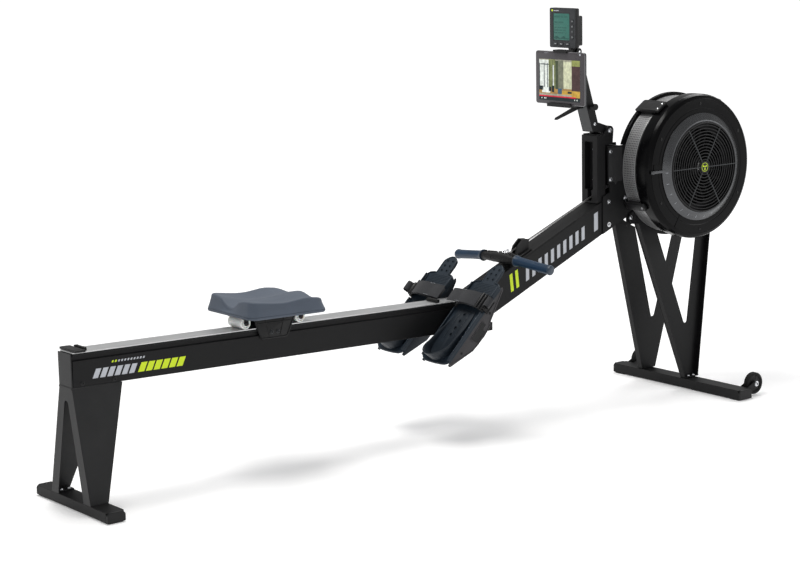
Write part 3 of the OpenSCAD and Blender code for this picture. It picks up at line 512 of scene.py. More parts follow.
    def raw(self, verts, faces, mat, M=ID):
        b = bmesh.new()
        V = [b.verts.new(v) for v in verts]
        for f in faces:
            b.faces.new([V[i] for i in f])
        return self.take(b, mat, M)

    def socket_bolt(self, at, d, r, h, mat, dark=None):
        """A button or cap head with a hexagon socket, standing on `at` along d."""
        M = facing(at, d)
        s = r * 0.46
        self.lathe([(s, h), (s + r * 0.12, h), (r * 0.8, h * 0.93), (r, h * 0.55), (r, 0), (0, 0),
                    (0, h * 0.35), (s, h * 0.35)], mat, M, 24, "Z", closed=False)
        self.lathe([(r * 1.25, 0), (r * 1.25, h * 0.12), (r * 0.9, h * 0.12), (r * 0.9, 0)], mat, M, 24,
            "Z")
        return self.prism(circle(s * 1.02, 6), h * 0.36, h * 0.37, dark or mat, "Z", 0, M=M)

    def make(self, name, body, replaces=(), slot=None, angle=38, weld=True):
        me = bpy.data.meshes.new(name)
        if weld:
            bmesh.ops.remove_doubles(self.bm, verts=self.bm.verts, dist=1e-7)
        self.bm.to_mesh(me)
        self.bm.free()
        for m in self.mats:
            me.materials.append(m)
        me.set_sharp_from_angle(angle=radians(angle))
        o = link_object(name, me)
        if body:
            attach(o, body)
        if replaces:
            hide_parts(*replaces)
        return o


# ---------------------------------------------------------------- floor
def floor():
    me = bpy.data.meshes.new("floor")
    b = bmesh.new()
    bmesh.ops.create_grid(b, x_segments=1, y_segments=1, size=90)
    b.to_mesh(me)
    b.free()
    o = link_object("floor", me)
    m = Mat("floor_white", Roughness=0.6)
    m.to("Base Color", m.ramp(m.noise(0.8, 2), [(0.3, (0.86, 0.86, 0.865)),
        (0.7, (0.88, 0.88, 0.885))]))
    g = m.node("TexGradient", gradient_type="SPHERICAL")
    m.link(m.coords((0.11, 0.11, 0.11)), g.inputs["Vector"])
    m.to("Emission Color", m.ramp(g.outputs["Fac"], [(0.5, (0.70, 0.70, 0.70)),
        (0.8, (0.24, 0.24, 0.24))]))
    m.b.inputs["Emission Strength"].default_value = 1.0
    me.materials.append(m.m)


floor()


# ---------------------------------------------------------------- flywheel housing
def housing():
    # outlines are (radius, y); the grille side is at negative y
    b = Build(AXLE)
    outer = [(141.2, -163), (206, -163, 3), (219, -160, 6), (225.2, -150, 8), (226.2, -117, 6),
        (218.5, -102.4, 5), (206, -99.2, 1), (206, -96.3, 0.6), (220.5, -98.6, 5), (229, -113, 8),
        (229, -150, 9), (223.6, -161.2, 7), (213, -165.2, 5), (186, -166, 2), (184.5, -165.3, 0.3),
        (183, -166, 0.3), (141.2, -166, 0.6)]
    b.lathe(outer, HOUSING, seg=224, rnd=0.8, n=5)
    # a thin step where the face meets the rolled shoulder
    b.lathe([(212.5, -165.3), (214.2, -165.3), (214.2, -165.9), (212.5, -165.9)], HOUSING, seg=224,
        rnd=0.25)
    # screw bosses inside the shoulder
    for k in range(6):
        a = radians(30 + 60 * k)
        c, s = cos(a) * 199, sin(a) * 199
        b.cyl((c, -165.9, s), (c, -166.0, s), 5.4, HOUSING)
        b.socket_bolt((c, -165.6, s), (0, -1, 0), 3.4, 0.9, BLACK2)
    b.make("housing_near_shell", "frame", ["housing_shell_right"], "housing", 30)


def soft_lines():
    # parting ribs of the far shell, seen from the other side
    b = Build(AXLE)
    for r in (120, 150, 180):
        b.lathe([(r - 1.6, -18.2), (r + 1.6, -18.2), (r + 1.0, -17.2), (r - 1.0, -17.2)], HOUSING,
            seg=160, rnd=0.3)
    for k in range(8):
        a = radians(22.5 + 45 * k)
        c, s = cos(a) * 204, sin(a) * 204
        if c < -165 and abs(s) < 120:
            continue
        b.socket_bolt((c, -18.6, s), (0, 1, 0), 4.4, 2.2, BLACK2)
    b.lathe([(62, -18.1), (70, -18.1), (70, -15.6), (62, -15.6)], PLASTIC, seg=96, rnd=0.7)
    b.make("housing_far_ribs", "frame", slot="housing")


def band():
    """The perforated band: a closed thin shell with round holes all over."""
    R0, R1 = 216.7, 218.0
    y0, y1 = -96.0, -41.0
    cols, rows, k = 186, 7, 8
    m0 = 3.0
    pitch = (y1 - y0 - 2 * m0) / rows
    verts, faces, index = [], [], {}

    def v(layer, u, w):
        key = (layer, round(u, 4) % round(cols * 1.0, 4), round(w, 4))
        if key not in index:
            a = 2 * pi * u / cols
            r = R1 if layer else R0
            verts.append((r * cos(a), w, r * sin(a)))
            index[key] = len(verts) - 1
        return index[key]

    hole = 0.31
    for c in range(cols):
        for r in range(rows):
            cy = y0 + m0 + (r + 0.5) * pitch
            cx = c + 0.5
            ring_o, ring_i = [], []
            for j in range(k):
                a = 2 * pi * j / k
                ca, sa = cos(a), sin(a)
                q = max(abs(ca), abs(sa))
                ring_o.append((cx + 0.5 * ca / q, cy + 0.5 * pitch * sa / q))
                ring_i.append((cx + hole * ca, cy + hole * pitch * sa))
            for L in (0, 1):
                for j in range(k):
                    n = (j + 1) % k
                    f = (v(L, *ring_o[j]), v(L, *ring_o[n]), v(L, *ring_i[n]), v(L, *ring_i[j]))
                    faces.append(f if L else f[::-1])
            for j in range(k):
                n = (j + 1) % k
                faces.append((v(1, *ring_i[j]), v(1, *ring_i[n]), v(0, *ring_i[n]), v(0, *ring_i[j])))
        for (ya, yb) in ((y0, y0 + m0), (y1 - m0, y1)):
            for h in (0, 0.5):
                for L in (0, 1):
                    f = (v(L, c + h, ya), v(L, c + h + 0.5, ya), v(L, c + h + 0.5, yb), v(L, c + h, yb))
                    faces.append(f if L else f[::-1])
        for h in (0, 0.5):
            faces.append((v(0, c + h, y0), v(0, c + h + 0.5, y0), v(1, c + h + 0.5, y0),
                v(1, c + h, y0)))
            faces.append((v(0, c + h, y1), v(1, c + h, y1), v(1, c + h + 0.5, y1),
                v(0, c + h + 0.5, y1)))
    b = Build(AXLE)
    b.raw(verts, faces, BAND)
    # rolled beads along both edges
    for y in (-93.4, -43.6):
        b.lathe([(217.9, y - 1.2), (218.3, y), (217.9, y + 1.2)], BAND, seg=186, closed=True)
    # a dark sheet just inside the band, painted shade: it stands for the dark inside of the housing seen
    # through the holes
    b.lathe([(211.6, -95.6), (212.6, -95.6), (212.6, -41.4), (211.6, -41.4)], RUBBER, seg=186)
    b.make("perforated_band_steel", "frame", ["perforated_band"], "band_grey", 30)


def grille():
    b = Build(AXLE)
    b.lathe([(137.8, -162.8), (140.9, -162.8), (140.9, -166.1), (142.2, -166.1), (142.2, -184.6),
        (140.6, -187, 1), (137.8, -187, 1)], PLASTIC, seg=160, rnd=0.7)
    # fine rings
    for i in range(12):
        r = 24 + i * 9.8
        b.lathe([(r - 1.35, -186.2), (r + 1.35, -186.2), (r + 1.1, -183.2), (r - 1.1, -183.2)], PLASTIC,
            seg=120, rnd=0.45, n=2)
    # spokes in the lighter key grey: painted light that makes them brighter than the black rings
    for i in range(6):
        M = turn(60 * i, "Y")
        b.box((14, -186.5, -1.3), (139.6, -182.0, 1.3), KEY, 0.5, M=M)
    # hub badge
    b.lathe([(0, -182.6), (19.5, -182.6), (20.4, -184.4, 0.6), (19.4, -187.2, 0.9), (17, -187.4),
        (16.4, -186.9), (0, -186.9)], PLASTIC, seg=64, closed=False)
    b.lathe([(12.6, -186.8), (13.9, -186.8), (13.9, -187.4), (12.6, -187.4)], LIME, seg=48, rnd=0.2)
    for k in range(3):
        M = turn(90 + 120 * k, "Y")
        b.prism(fillet([(1.6, -1.5), (9.2, -2.6), (9.2, 2.6), (1.6, 1.5)], 0.6), -187.3, -186.8, LIME,
            "Y", 0.12, 1, M=M)
    b.make("fan_grille_rings", "frame", ["fan_grille"], "plastic_black", 35)


def damper():
    b = Build(AXLE)
    b.lathe([(143.2, -181), (146, -181), (166, -168.6), (169.9, -166.7, 0.4), (170.2, -168.4, 0.8),
        (148, -183.2, 1.6), (143.2, -183.6, 0.8)], DAMPER, seg=192, rnd=0.5, n=4)
    # ten setting marks round the ring
    for k in range(10):
        a = radians(182 + 13 * k)
        M = Matrix.Rotation(-a, 4, "Y") @ move(158.4, -176.2, 0) @ turn(33.5, "Z")
        b.box((-4, -0.55, -0.5), (4, 0.12, 0.5), PALE, 0.15, 1, M=M)
    # lever
    b.prism(fillet([(-222, -4.6, 2), (-168, -4.0, 1), (-160, -7.5, 2), (-156, -7.5), (-156, 7.5),
        (-160, 7.5, 2), (-168, 4.0, 1), (-222, 4.6, 2)], 1.5), -174, -169.2, DAMPER, "Y", 0.9, 3)
    b.prism(rect(-222, -5, -213.5, 5, 1.6), -178.2, -169, DAMPER, "Y", 0.9, 3)
    for x in (-220.4, -217.8, -215.2):
        b.box((x - 0.5, -178.7, -4), (x + 0.5, -177.6, 4), DAMPER, 0.25, 1)
    b.make("damper_ring_lever", "damper", ["damper_ring"], "damper_grey", 35)


def fan():
    b = Build(AXLE)
    # the cast fan wears the near black of painted shade for the housing's inside
    b.lathe([(8.2, -150), (22, -150, 1.5), (26, -146, 2), (26, -70, 3), (40, -62.2, 6), (196, -62, 0.5),
        (196, -58, 0.5), (26, -58), (26, -44, 1), (8.2, -44)], CAST_IN_SHADE, seg=96, rnd=0.5)
    b.lathe([(184, -66), (198, -66), (198, -50), (184, -50)], CAST_IN_SHADE, seg=128, rnd=1.5)
    b.lathe([(120, -149), (190, -149), (190, -146), (120, -146)], CAST_IN_SHADE, seg=128, rnd=0.8)
    for i in range(24):
        M = turn(15 * i, "Y")
        rings = []
        for t in range(9):
            u = t / 8
            x = 70 + 122 * u
            off = 9 * sin(u * pi * 0.9)
            w = 1.5 - 0.4 * u
            rings.append([(x, -146, off - w), (x, -146, off + w), (x, -62, off * 0.7 + w),
                (x, -62, off * 0.7 - w)])
        b.loft(rings, CAST_IN_SHADE, M)
    b.make("flywheel_fan_cast", "flywheel", ["flywheel_fan"], "aluminium", 35)


def clips():
    b = Build(AXLE)
    for a, w, yc, zc in ((52, 24, -27.5, 12), (124, 24, -27.5, 12), (209, 12, -41.2, 0)):
        M = turn(-a, "Y")
        # a pad on the band, the strap over it, a rounded latch block and its screws
        b.prism(rect(218.4, -95.8, 232, -45.8, 1.2), -w + 4, w - 4, PLASTIC, "Z", 0.8, M=M)
        out = fillet([(229.8, -129.8), (238.5, -129.8), (240.4, -120), (240.4, yc - 12),
            (237, yc - 0.6), (229.8, yc - 0.6)], 2.6)
        b.prism(out, -w, w, PLASTIC, "Z", 1.8, 3, M=M)
        if w > 20:
            for z in (-w + 3, w - 6):
                b.box((239.2, -112, z), (240.55, yc - 10, z + 3), PLASTIC, 0.6, M=M)
            b.prism(fillet([(236, -92), (240.5, -88), (240.5, -62), (236, -58)], 1.4), -w + 8, w - 8,
                BLACK2, "Z", 0.8, M=M)
        b.cyl(tuple(M @ Vector((229, -119, zc * 0))), tuple(M @ Vector((240.5, -119, 0))), 10.5
            if w > 20 else 11.4, PLASTIC, seg=40, edge=1.6)
        for z in ((-zc, zc) if zc else (0,)):
            b.socket_bolt(tuple(M @ Vector((239.0, -119, z))), tuple(M.to_3x3() @ Vector((1, 0, 0))),
                4.2, 1.55, CHROME, dark=BLACK2)
    b.make("housing_clip_straps", "frame", ["housing_clips"], "plastic_black", 35)


def shell_recess():
    # dark recess over the damper's lever, and the step line where the ring starts
    b = Build(AXLE)
    for a0, a1, r0, r1, d in ((181.5, 186.5, 146, 206, 1.0), (120, 122.2, 168, 214, 0.7)):
        ring = []
        for t in range(7):
            a = radians(a0 + (a1 - a0) * t / 6)
            ring.append((r1 * cos(a), r1 * sin(a)))
        for t in range(6, -1, -1):
            a = radians(a0 + (a1 - a0) * t / 6)
            ring.append((r0 * cos(a), r0 * sin(a)))
        b.prism([(p[0], p[1]) for p in ring][::1], -166.3 - d, -165.4, HOUSING, "Y", 0.3, 1,
            M=Matrix.Diagonal((1, 1, -1, 1)))
    b.make("housing_step_lines", "frame", slot="housing")


housing()
soft_lines()
band()
grille()
damper()
shell_recess()
fan()
clips()

# ---------------------------------------------------------------- seat
def rrect(a, b, r, nc=9, ne=12):
    """A rounded rectangle of half sizes a, b, with the same point count for every size."""
    pts = []
    cs = [(a - r, b - r, 0), (-a + r, b - r, 90), (-a + r, -b + r, 180), (a - r, -b + r, 270)]
    for i, (cx, cy, a0) in enumerate(cs):
        for k in range(nc):
            t = radians(a0 + 90 * k / (nc - 1))
            pts.append((cx + r * cos(t), cy + r * sin(t)))
        nx, ny, n0 = cs[(i + 1) % 4]
        e = (nx + r * cos(radians(n0)), ny + r * sin(radians(n0)))
        p = pts[-1]
        for k in range(1, ne):
            pts.append((p[0] + (e[0] - p[0]) * k / ne, p[1] + (e[1] - p[1]) * k / ne))
    return pts


SX = [-125, -95, -60, -30, 0, 30, 60, 90, 125]
SROW = {0: [60, 66, 71.5, 74.5, 76, 78, 80.5, 83.5, 83], 20: [65, 68.5, 71.5, 73, 73.5, 75, 78, 80.5,
    80.5], 40: [81.5, 77, 72.5, 69.5, 69, 70.5, 72.5, 74, 74.5],
    60: [86.5, 80.5, 73, 68.5, 68, 69.5, 71.5, 72.5, 72.5], 85: [88.5, 83.5, 77.5, 73.5, 72.5, 74.5, 77,
    76.5, 74], 112: [89, 86.5, 83, 80.5, 80.5, 84, 87, 84, 78]}


def seat_h(x, y):
    ks = sorted(SROW)
    return lerp_table(ks, [lerp_table(SX, SROW[k], x) for k in ks], abs(y))


def seat():
    b = Build(SEAT)
    at_, bt, rt = 122.5, 108.5, 23
    ab, bb, rb = 130.6, 117.6, 26
    R = 7.5
    rings = []
    base = [(ab - 5, bb - 5, rb - 4, 38.2), (ab - 2.2, bb - 2.2, rb - 2, 38.4),
        (ab - 0.6, bb - 0.6, rb, 39.6), (ab, bb, rb, 42), (ab - 0.2, bb - 0.2, rb, 45.2),
        (ab - 1.2, bb - 1.2, rb, 45.7), (ab - 1.2, bb - 1.2, rb, 46.5), (ab - 0.4, bb - 0.4, rb, 47.0)]
    for a, c, r, z in base:
        rings.append([(p[0], p[1], z) for p in rrect(a, c, r)])
    low, top = rrect(ab - 0.4, bb - 0.4, rb), rrect(at_, bt, rt)
    for k in range(1, 6):
        s = k / 6
        ring = []
        for p, q in zip(low, top):
            e = sin(s * pi) * 0.8
            x, y = p[0] + (q[0] - p[0]) * s, p[1] + (q[1] - p[1]) * s
            n = Vector((x, y)).normalized() * e
            ring.append((x - n.x, y - n.y, 47 + (seat_h(*q) - R - 47) * s))
        rings.append(ring)
    for k in range(7):
        t = radians(90 * k / 6)
        d = R * (1 - cos(t))
        rings.append([(p[0], p[1], seat_h(*p) - R + R * sin(t)) for p in rrect(at_ - d, bt - d,
            rt - d * 0.6)])
    inner = rrect(at_ - R, bt - R, rt - R * 0.6)
    for k in range(1, 30):
        s = (1 - k / 30) ** 0.9
        rings.append([(p[0] * s, p[1] * s, seat_h(p[0] * s, p[1] * s)) for p in inner])
    b.loft(rings, FOAM)
    pad = b.make("seat_pad_foam", "seat", ["seat_pad"], "slate_foam", 50)
    # the base pan under the foam, with its ribs
    u = Build(SEAT)
    u.plate(rrect(112, 98, 20, 6, 2), [rrect(98, 42, 8, 5, 2)], 35.6, 38.3, PLASTIC, "Z", 0.5)
    for x in (-70, -35, 35, 70):
        for s in (-1, 1):
            u.box((x - 1.2, s * 42 - (0 if s > 0 else 50), 33.6),
                (x + 1.2, s * 42 + (50 if s > 0 else 0), 36), PLASTIC, 0.4)
    u.make("seat_base_pan", "seat", slot="plastic_black")
    # the carriage: a top plate, V-shaped side plates with raised ribs, hangers for the axles
    c = Build(SEAT)
    c.plate(rect(-106, -37, 106, 37, 6, 4), [rect(-70, -18, 70, 18, 6, 4)], 33.4, 36.2, PLASTIC, "Z",
        0.7)
    for s in (-1, 1):
        y = 37 * s
        vee = fillet([(-72, 35), (-60, 6), (-45, -30), (-37, -34.5), (42, -34.5), (49, -30), (64, 6),
            (78, 35)], 6, 5)
        c.prism(vee, *sorted((s * 33.6, y)), PLASTIC, "Y", 0.9)
        path = [(-66, y, 31), (-55, y, 4), (-41, y, -27.5), (-34, y, -31), (39, y, -31), (45, y, -27.5),
            (59, y, 4), (71, y, 31)]
        c.tube(smooth_path(path, 4), 1.7, PLASTIC)
        c.tube([(-30, y, 24), (-16, y, -26)], 1.4, PLASTIC)
        c.tube([(34, y, 24), (20, y, -26)], 1.4, PLASTIC)
        c.tube([(-58, y, 12), (62, y, 12)], 1.3, PLASTIC)
        for x in (-92, 92):
            hang = fillet([(x - 7, 34.5), (x - 7, 16.6), (x - 5, 11.4), (x, 9.4), (x + 5, 11.4),
                (x + 7, 16.6), (x + 7, 34.5)], 2, 3)
            c.prism(hang, *sorted((s * 34.3, s * 36.8)), PLASTIC, "Y", 0.6)
            c.lathe([(0, 36.4), (6.2, 36.4), (6.2, 38.6), (5, 39.8), (3.4, 40.2), (3, 39.2), (0, 39.2)],
                BLACK2, move(x, 0, 16.6) @ Matrix.Diagonal((1, s, 1, 1)), 32, "Y", closed=False)
        c.box((-104, min(s * 33.8, y), 29), (-64, max(s * 33.8, y), 35), PLASTIC, 0.8)
        c.box((64, min(s * 33.8, y), 29), (104, max(s * 33.8, y), 35), PLASTIC, 0.8)
        for x in (-9, 13):
            c.cyl((x, s * 27.7, -15.5), (x, s * 37.4, -15.5), 1.95, CHROME)
            c.socket_bolt((x, s * 37.1, -15.5), (0, s, 0), 5.2, 3.6, KEY, dark=BLACK2)
    for x in (-92, 92):
        c.cyl((x, -37.5, 16.6), (x, 37.5, 16.6), 4.95, CHROME)
    c.make("seat_carriage_frame", "seat", ["seat_axles", "seat_carriage"], "plastic_black")
    # the rollers' tyres have a groove and a hub web
    for name, x, body in (("top_roller_rear", -92, "roller_rear"),
            ("top_roller_front", 92, "roller_front")):
        r = Build(SEAT @ move(x * MM, 0, 16.6 * MM))
        prof = [(5.05, -33.6), (9, -33.6), (9, -29.2), (12, -29.2), (12.4, -32.6), (13.4, -33),
            (15.4, -33, 0.8), (16.5, -31.8, 0.8), (16.5, -12.4), (15.7, -11.6), (15.7, 11.6),
            (16.5, 12.4), (16.5, 31.8, 0.8), (15.4, 33, 0.8), (13.4, 33), (12.4, 32.6), (12, 29.2),
            (9, 29.2), (9, 33.6), (5.05, 33.6)]
        r.lathe(prof, NYLON, seg=72, rnd=0.3)
        for k in range(5):
            a = 2 * pi * k / 5
            for s in (-1, 1):
                r.cyl((10.6 * cos(a), s * 28.6, 10.6 * sin(a)),
                    (10.6 * cos(a), s * 30.4, 10.6 * sin(a)), 1.2, NYLON, seg=16)
        r.make(name + "_tyre", body, [name], "roller_white", 35)


seat()

# ---------------------------------------------------------------- foot boards
def ribbon(name, path, across, width, crown=0.0, thick=0.0018, parts=6):
    """A strap of webbing: a closed thin band along a path, laid out in metres on its UV map."""
    P = [Vector(p) for p in path]
    A = Vector(across).normalized()
    b = bmesh.new()
    uv = b.loops.layers.uv.new("UVMap")
    rows, dist = [], [0.0]
    for p, q in zip(P, P[1:]):
        dist.append(dist[-1] + (q - p).length)
    shares = [k / parts for k in range(parts + 1)]
    for i, p in enumerate(P):
        t = (P[min(i + 1, len(P) - 1)] - P[max(i - 1, 0)]).normalized()
        n = A.cross(t).normalized()
        row = []
        for side, order in ((1, shares), (-1, shares[::-1])):
            for w in order:
                u = w - 0.5
                half = thick / 2 * (0.72 if w in (0, 1) else 1.0) * side
                v = b.verts.new(p + A * (u * width) + n * (crown * (1 - 4 * u * u) + half))
                row.append((v, (w * width, dist[i])))
        rows.append(row)

    def face(corners):
        f = b.faces.new([v for v, _ in corners])
        f.smooth = True
        for loop, (_, at) in zip(f.loops, corners):
            loop[uv].uv = at

    m = len(rows[0])
    for R, S in zip(rows, rows[1:]):
        for k in range(m):
            j = (k + 1) % m
            face((R[k], R[j], S[j], S[k]))
    for row in (rows[0], rows[-1]):
        for k in range(parts):
            face((row[k], row[k + 1], row[m - 2 - k], row[m - 1 - k]))
    bmesh.ops.recalc_face_normals(b, faces=b.faces)
    me = bpy.data.meshes.new(name)
    b.to_mesh(me)
    b.free()
    me.materials.append(WEB)
    me.set_sharp_from_angle(angle=radians(50))
    o = link_object(name, me)
    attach(o, "frame")
    return o, dist[-1]


TAB_X, SOLE_X, TAB_Y = (312, 330, 348), (100, 125, 150, 175), 11.5
STRAP_W, TAIL_W, LOOP_W = 0.050, 0.046, 0.030


def foot(side, s):
    M = move(*W(1.127, s * 0.108, 0.239)) @ turn(-44.3) @ Matrix.Diagonal((1, s, 1, 1))
    b = Build(M)
    outline = both([(366.4, 9, 14), (352, 27, 14), (334, 30, 10), (303, 29.5, 6), (300, 47, 9),
        (288, 62, 9),
                    (13, 62, 8), (3.5, 42, 30)], [(0.2, 0, 90)])
    holes = [circle(3.4, 20, x, y) for x in TAB_X for y in (-TAB_Y, TAB_Y)]
    holes += [circle(4.5, 24, x, 0) for x in range(40, 173, 22)]
    b.plate(fillet(outline, 4, 6), holes, 0.4, 8, SLATE, "Z", 1.2, res=3)
    # raised collars round the tab's holes, a rim round the tab, and ridges under the toes
    for x in TAB_X:
        for y in (-TAB_Y, TAB_Y):
            b.lathe([(3.6, 7.6), (5.6, 7.6), (5.3, 8.6), (3.8, 8.6)], SLATE, move(x, y, 0), 24, "Z",
                rnd=0.25)
    b.bead(both([(304, -27), (334, -27.5), (350, -24.8), (363.2, -8)]), 8.2, 1.3, SLATE)
    for k in range(8):
        b.box((254 + k * 5.4, -42, 7.6), (256.2 + k * 5.4, 42, 8.9), SLATE, 0.4)
        # size scale beside the heel rest's slot
        b.box((52 + k * 17, 46.5, 7.7), (53.4 + k * 17, 51.5, 8.35), PALE, 0.2, 1)
    # side ribs, broken where the strap passes
    for x0, x1 in ((14, 193), (250, 289)):
        for y in (57, -62):
            b.box((x0, y, 6), (x1, y + 5, 15.8), SLATE, 1.7, 3)
        b.box((x0 + 4, 52, 6), (x1 - 2, 54.4, 12), SLATE, 0.9)
        b.tube([(x0 + 3, 59.5, 15.6), (x1 - 3, 59.5, 15.6)], 0.8, SLATE)
    # shoulders at the toe end
    for t in (-1, 1):
        b.bead([(288, t * 59.4), (296, t * 52), (299, t * 42), (301, t * 31)], 9.2, 1.9, SLATE)
    # rolled heel end with two ribs below it
    b.bead([(14.5, -60), (5.5, -42), (3.4, 0), (5.5, 42), (14.5, 60)], 4.2, 3.6, SLATE, 6, 12)
    b.bead([(17, -58), (9, -41), (7, 0), (9, 41), (17, 58)], 0.2, 2.6, SLATE2, 6, 10)
    for y in (-30, 0, 30):
        b.box((8, y - 1.3, -9), (150, y + 1.3, 1), SLATE2, 0.5)
    for x in (60, 110, 160, 210, 260):
        b.box((x - 1.2, -58, -9), (x + 1.2, 58, 1), SLATE2, 0.5)
    # side panels: the outer one is lighter and has a dark stepped recess
    panel = fillet([(3, 0.8), (299, 0.8), (292, -8, 5), (196, -36, 5), (186, -45, 4), (150, -48, 6),
                    (92, -44, 10), (4, -8, 4)], 3, 4)
    b.prism(panel, 58, 61.2, CARBON, "Y", 0.7)
    b.prism(panel, -62, -58, SLATE2, "Y", 0.7)
    b.bead([(14, -4.5), (92, -40), (148, -44), (186, -40.5), (196, -32), (288, -5)], 61.3, 1.4, CARBON,
        axis="Y")
    b.prism(fillet([(112, -12), (176, -12), (176, -25), (160, -25), (160, -38), (118, -38)], 2.5, 4),
        60.6,
            61.5, BLACK2, "Y", 0.25, 1)
    step = fillet([(110, -10), (178, -10), (178, -27), (162, -27), (162, -40), (116, -40)], 2.5, 4)
    b.tube([(x, 61.6, z) for x, z in step], 1.1, CARBON, closed=True)
    for x, z in ((212, -16), (60, -14)):
        b.socket_bolt((x, 61.2, z), (0, 1, 0), 3.6, 1.6, BLACK2)
    b.make(f"foot_board_{side}", "frame", [f"footboard_{side}"], "slate_plastic", 35)

    # heel rest: a sole plate with a cup that stands up round the heel
    h = Build(M)
    sole = both([(28, -34, 14), (56, -43, 14), (96, -43, 20), (188, -35, 7)],
        [(190, 0, 40)]) + [(20, 0, 40)]
    h.plate(fillet(sole, 8, 6), [circle(4.6, 24, x, 0) for x in SOLE_X], 8.5, 12.2, SLATE2, "Z", 0.9)
    for x in SOLE_X:
        h.lathe([(4.7, 11.8), (7.2, 11.8), (6.9, 12.9), (4.9, 12.9)], SLATE2, move(x, 0, 0), 28, "Z",
            rnd=0.25)
    for y in (-20, 20):
        h.box((84, y - 0.9, 11.8), (182, y + 0.9, 13.0), SLATE2, 0.4)
    # the cup's wall: places round the heel, each with its height
    rim = [(188, 34.2, 2.6), (150, 39.6, 5.5), (120, 42.4, 9.5), (96, 44.0, 15)]
    back = []
    for k in range(1, 24):
        a = radians(78 + 204 * k / 24)
        back.append((52 + 44.2 * cos(a), 44.2 * sin(a), 20 + 18.6 * cos(radians((k / 24 - 0.5) * 180))))
    P = smooth_path(both(rim, back), 2)
    rings = []
    for i, p in enumerate(P):
        t = P[min(i + 1, len(P) - 1)] - P[max(i - 1, 0)]
        n = Vector((t.y, -t.x, 0)).normalized()
        if n.dot(Vector((p.x - 90, p.y, 0))) < 0:
            n = -n
        H, lean = p.z, p.z * 0.085
        wall = [(-1.9, 0), (-1.8, H * 0.5), (-1.5 + lean, H - 1.4), (-0.6 + lean, H - 0.2),
            (1.2 + lean, H),
                (2.2 + lean, H - 0.9), (2.3 + lean, H - 2.4), (1.9 + lean * 0.4, H * 0.5), (1.8, 0)]
        rings.append([Vector((p.x, p.y, 8.5 + w)) + n * u for u, w in wall])
    h.loft(rings, SLATE2)
    # ribs up the back of the cup
    for a in (140, 160, 180, 200, 220):
        ca, sa = cos(radians(a)), sin(radians(a))
        h.tube([(52 + r * ca, r * sa, z) for r, z in ((45.9, 9.5), (46.9, 28), (48.2, 38))], 1.0,
            SLATE2)
    h.make(f"heel_rest_cup_{side}", f"heel_{side}", [f"heel_rest_{side}"], "slate_plastic", 40)

    # strap over the foot, with its overlapping tail and the pull loop
    def strap(name, x, section, width, crown=0.0):
        path = [M @ (Vector((x, *p)) * MM) for p in smooth_path(section, 4)]
        return ribbon(f"{name}_{side}", path, M.to_3x3() @ Vector((1, 0, 0)), width, crown)

    arch, length = strap("foot_strap", 221, [
        (-63.5, 9.6), (-61.5, 12.5), (-56, 19.5), (-46, 26.5), (-33, 32), (-18, 35.4), (0, 37.6), (18,
            36.8),
        (34, 32.2), (47, 25), (57, 16.5), (62.5, 10.2)], STRAP_W, 0.0006)
    tail, _ = strap("foot_strap_tail", 221.5, [
        (40, 32.2), (26, 36.6), (10, 39.8), (-6, 40.6), (-22, 39.2), (-38, 37.0), (-54, 36.8), (-70,
            36.2),
        (-86, 33.4)], TAIL_W, 0.0004)
    loop, _ = strap("strap_pull_loop", 222, [
        (70, 15), (76, 13.4), (83, 15.6), (88, 21.5), (88.6, 28.5), (84, 33.8), (77, 34.8), (71, 31),
        (68, 24)], LOOP_W)
    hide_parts("foot_straps")
    # stitching rows where the tail is sewn, and the buckle
    k = Build(M)
    for x in (200, 243):
        for j in range(9):
            y = -44 + j * 2.6
            k.box((x - 0.35, y, 39.3), (x + 0.35, y + 1.7, 39.9), PALE, 0.12, 1)
    k.prism(fillet([(63.2, -4), (69.5, -4), (69.8, 8), (68.6, 22), (64, 23.5), (62.8, 10)], 1.6, 4),
        200, 244,
            PLASTIC, "X", 1.0)
    for j in range(4):
        k.box((203, 68.6, -1 + j * 4.6), (241, 71.2 - j * 0.5, 1 + j * 4.6), PLASTIC, 0.7)
    k.prism(fillet([(63, 17), (72, 20), (71, 25.5), (62, 22)], 1.2), 204, 240, PLASTIC, "X", 0.7)
    # ladder adjuster lying on the strap
    for j, (y, z) in enumerate(((58.5, 18.6), (51.8, 25.0), (44.0, 30.6))):
        k.box((-27, -3.0, -1.6), (27, 3.0, 2.2), PLASTIC, 1.1, 3, M=move(222, y, z)
            @ turn(7 * j - 44, "X"))
    for x in (196.4, 247.6):
        k.tube([(x, 60.5, 17.2), (x, 51.8, 25.6), (x, 42.4, 32)], 1.7, PLASTIC)
    k.lathe([(5.2, -1), (7.6, -1), (7.6, 1), (5.2, 1)], CHROME, move(222, 73.4, 19) @ turn(90, "X"), 28,
        "Z",
            rnd=0.5)
    k.make(f"strap_buckle_{side}", "frame", ["strap_buckles"], "plastic_black")


foot("left", 1)
foot("right", -1)

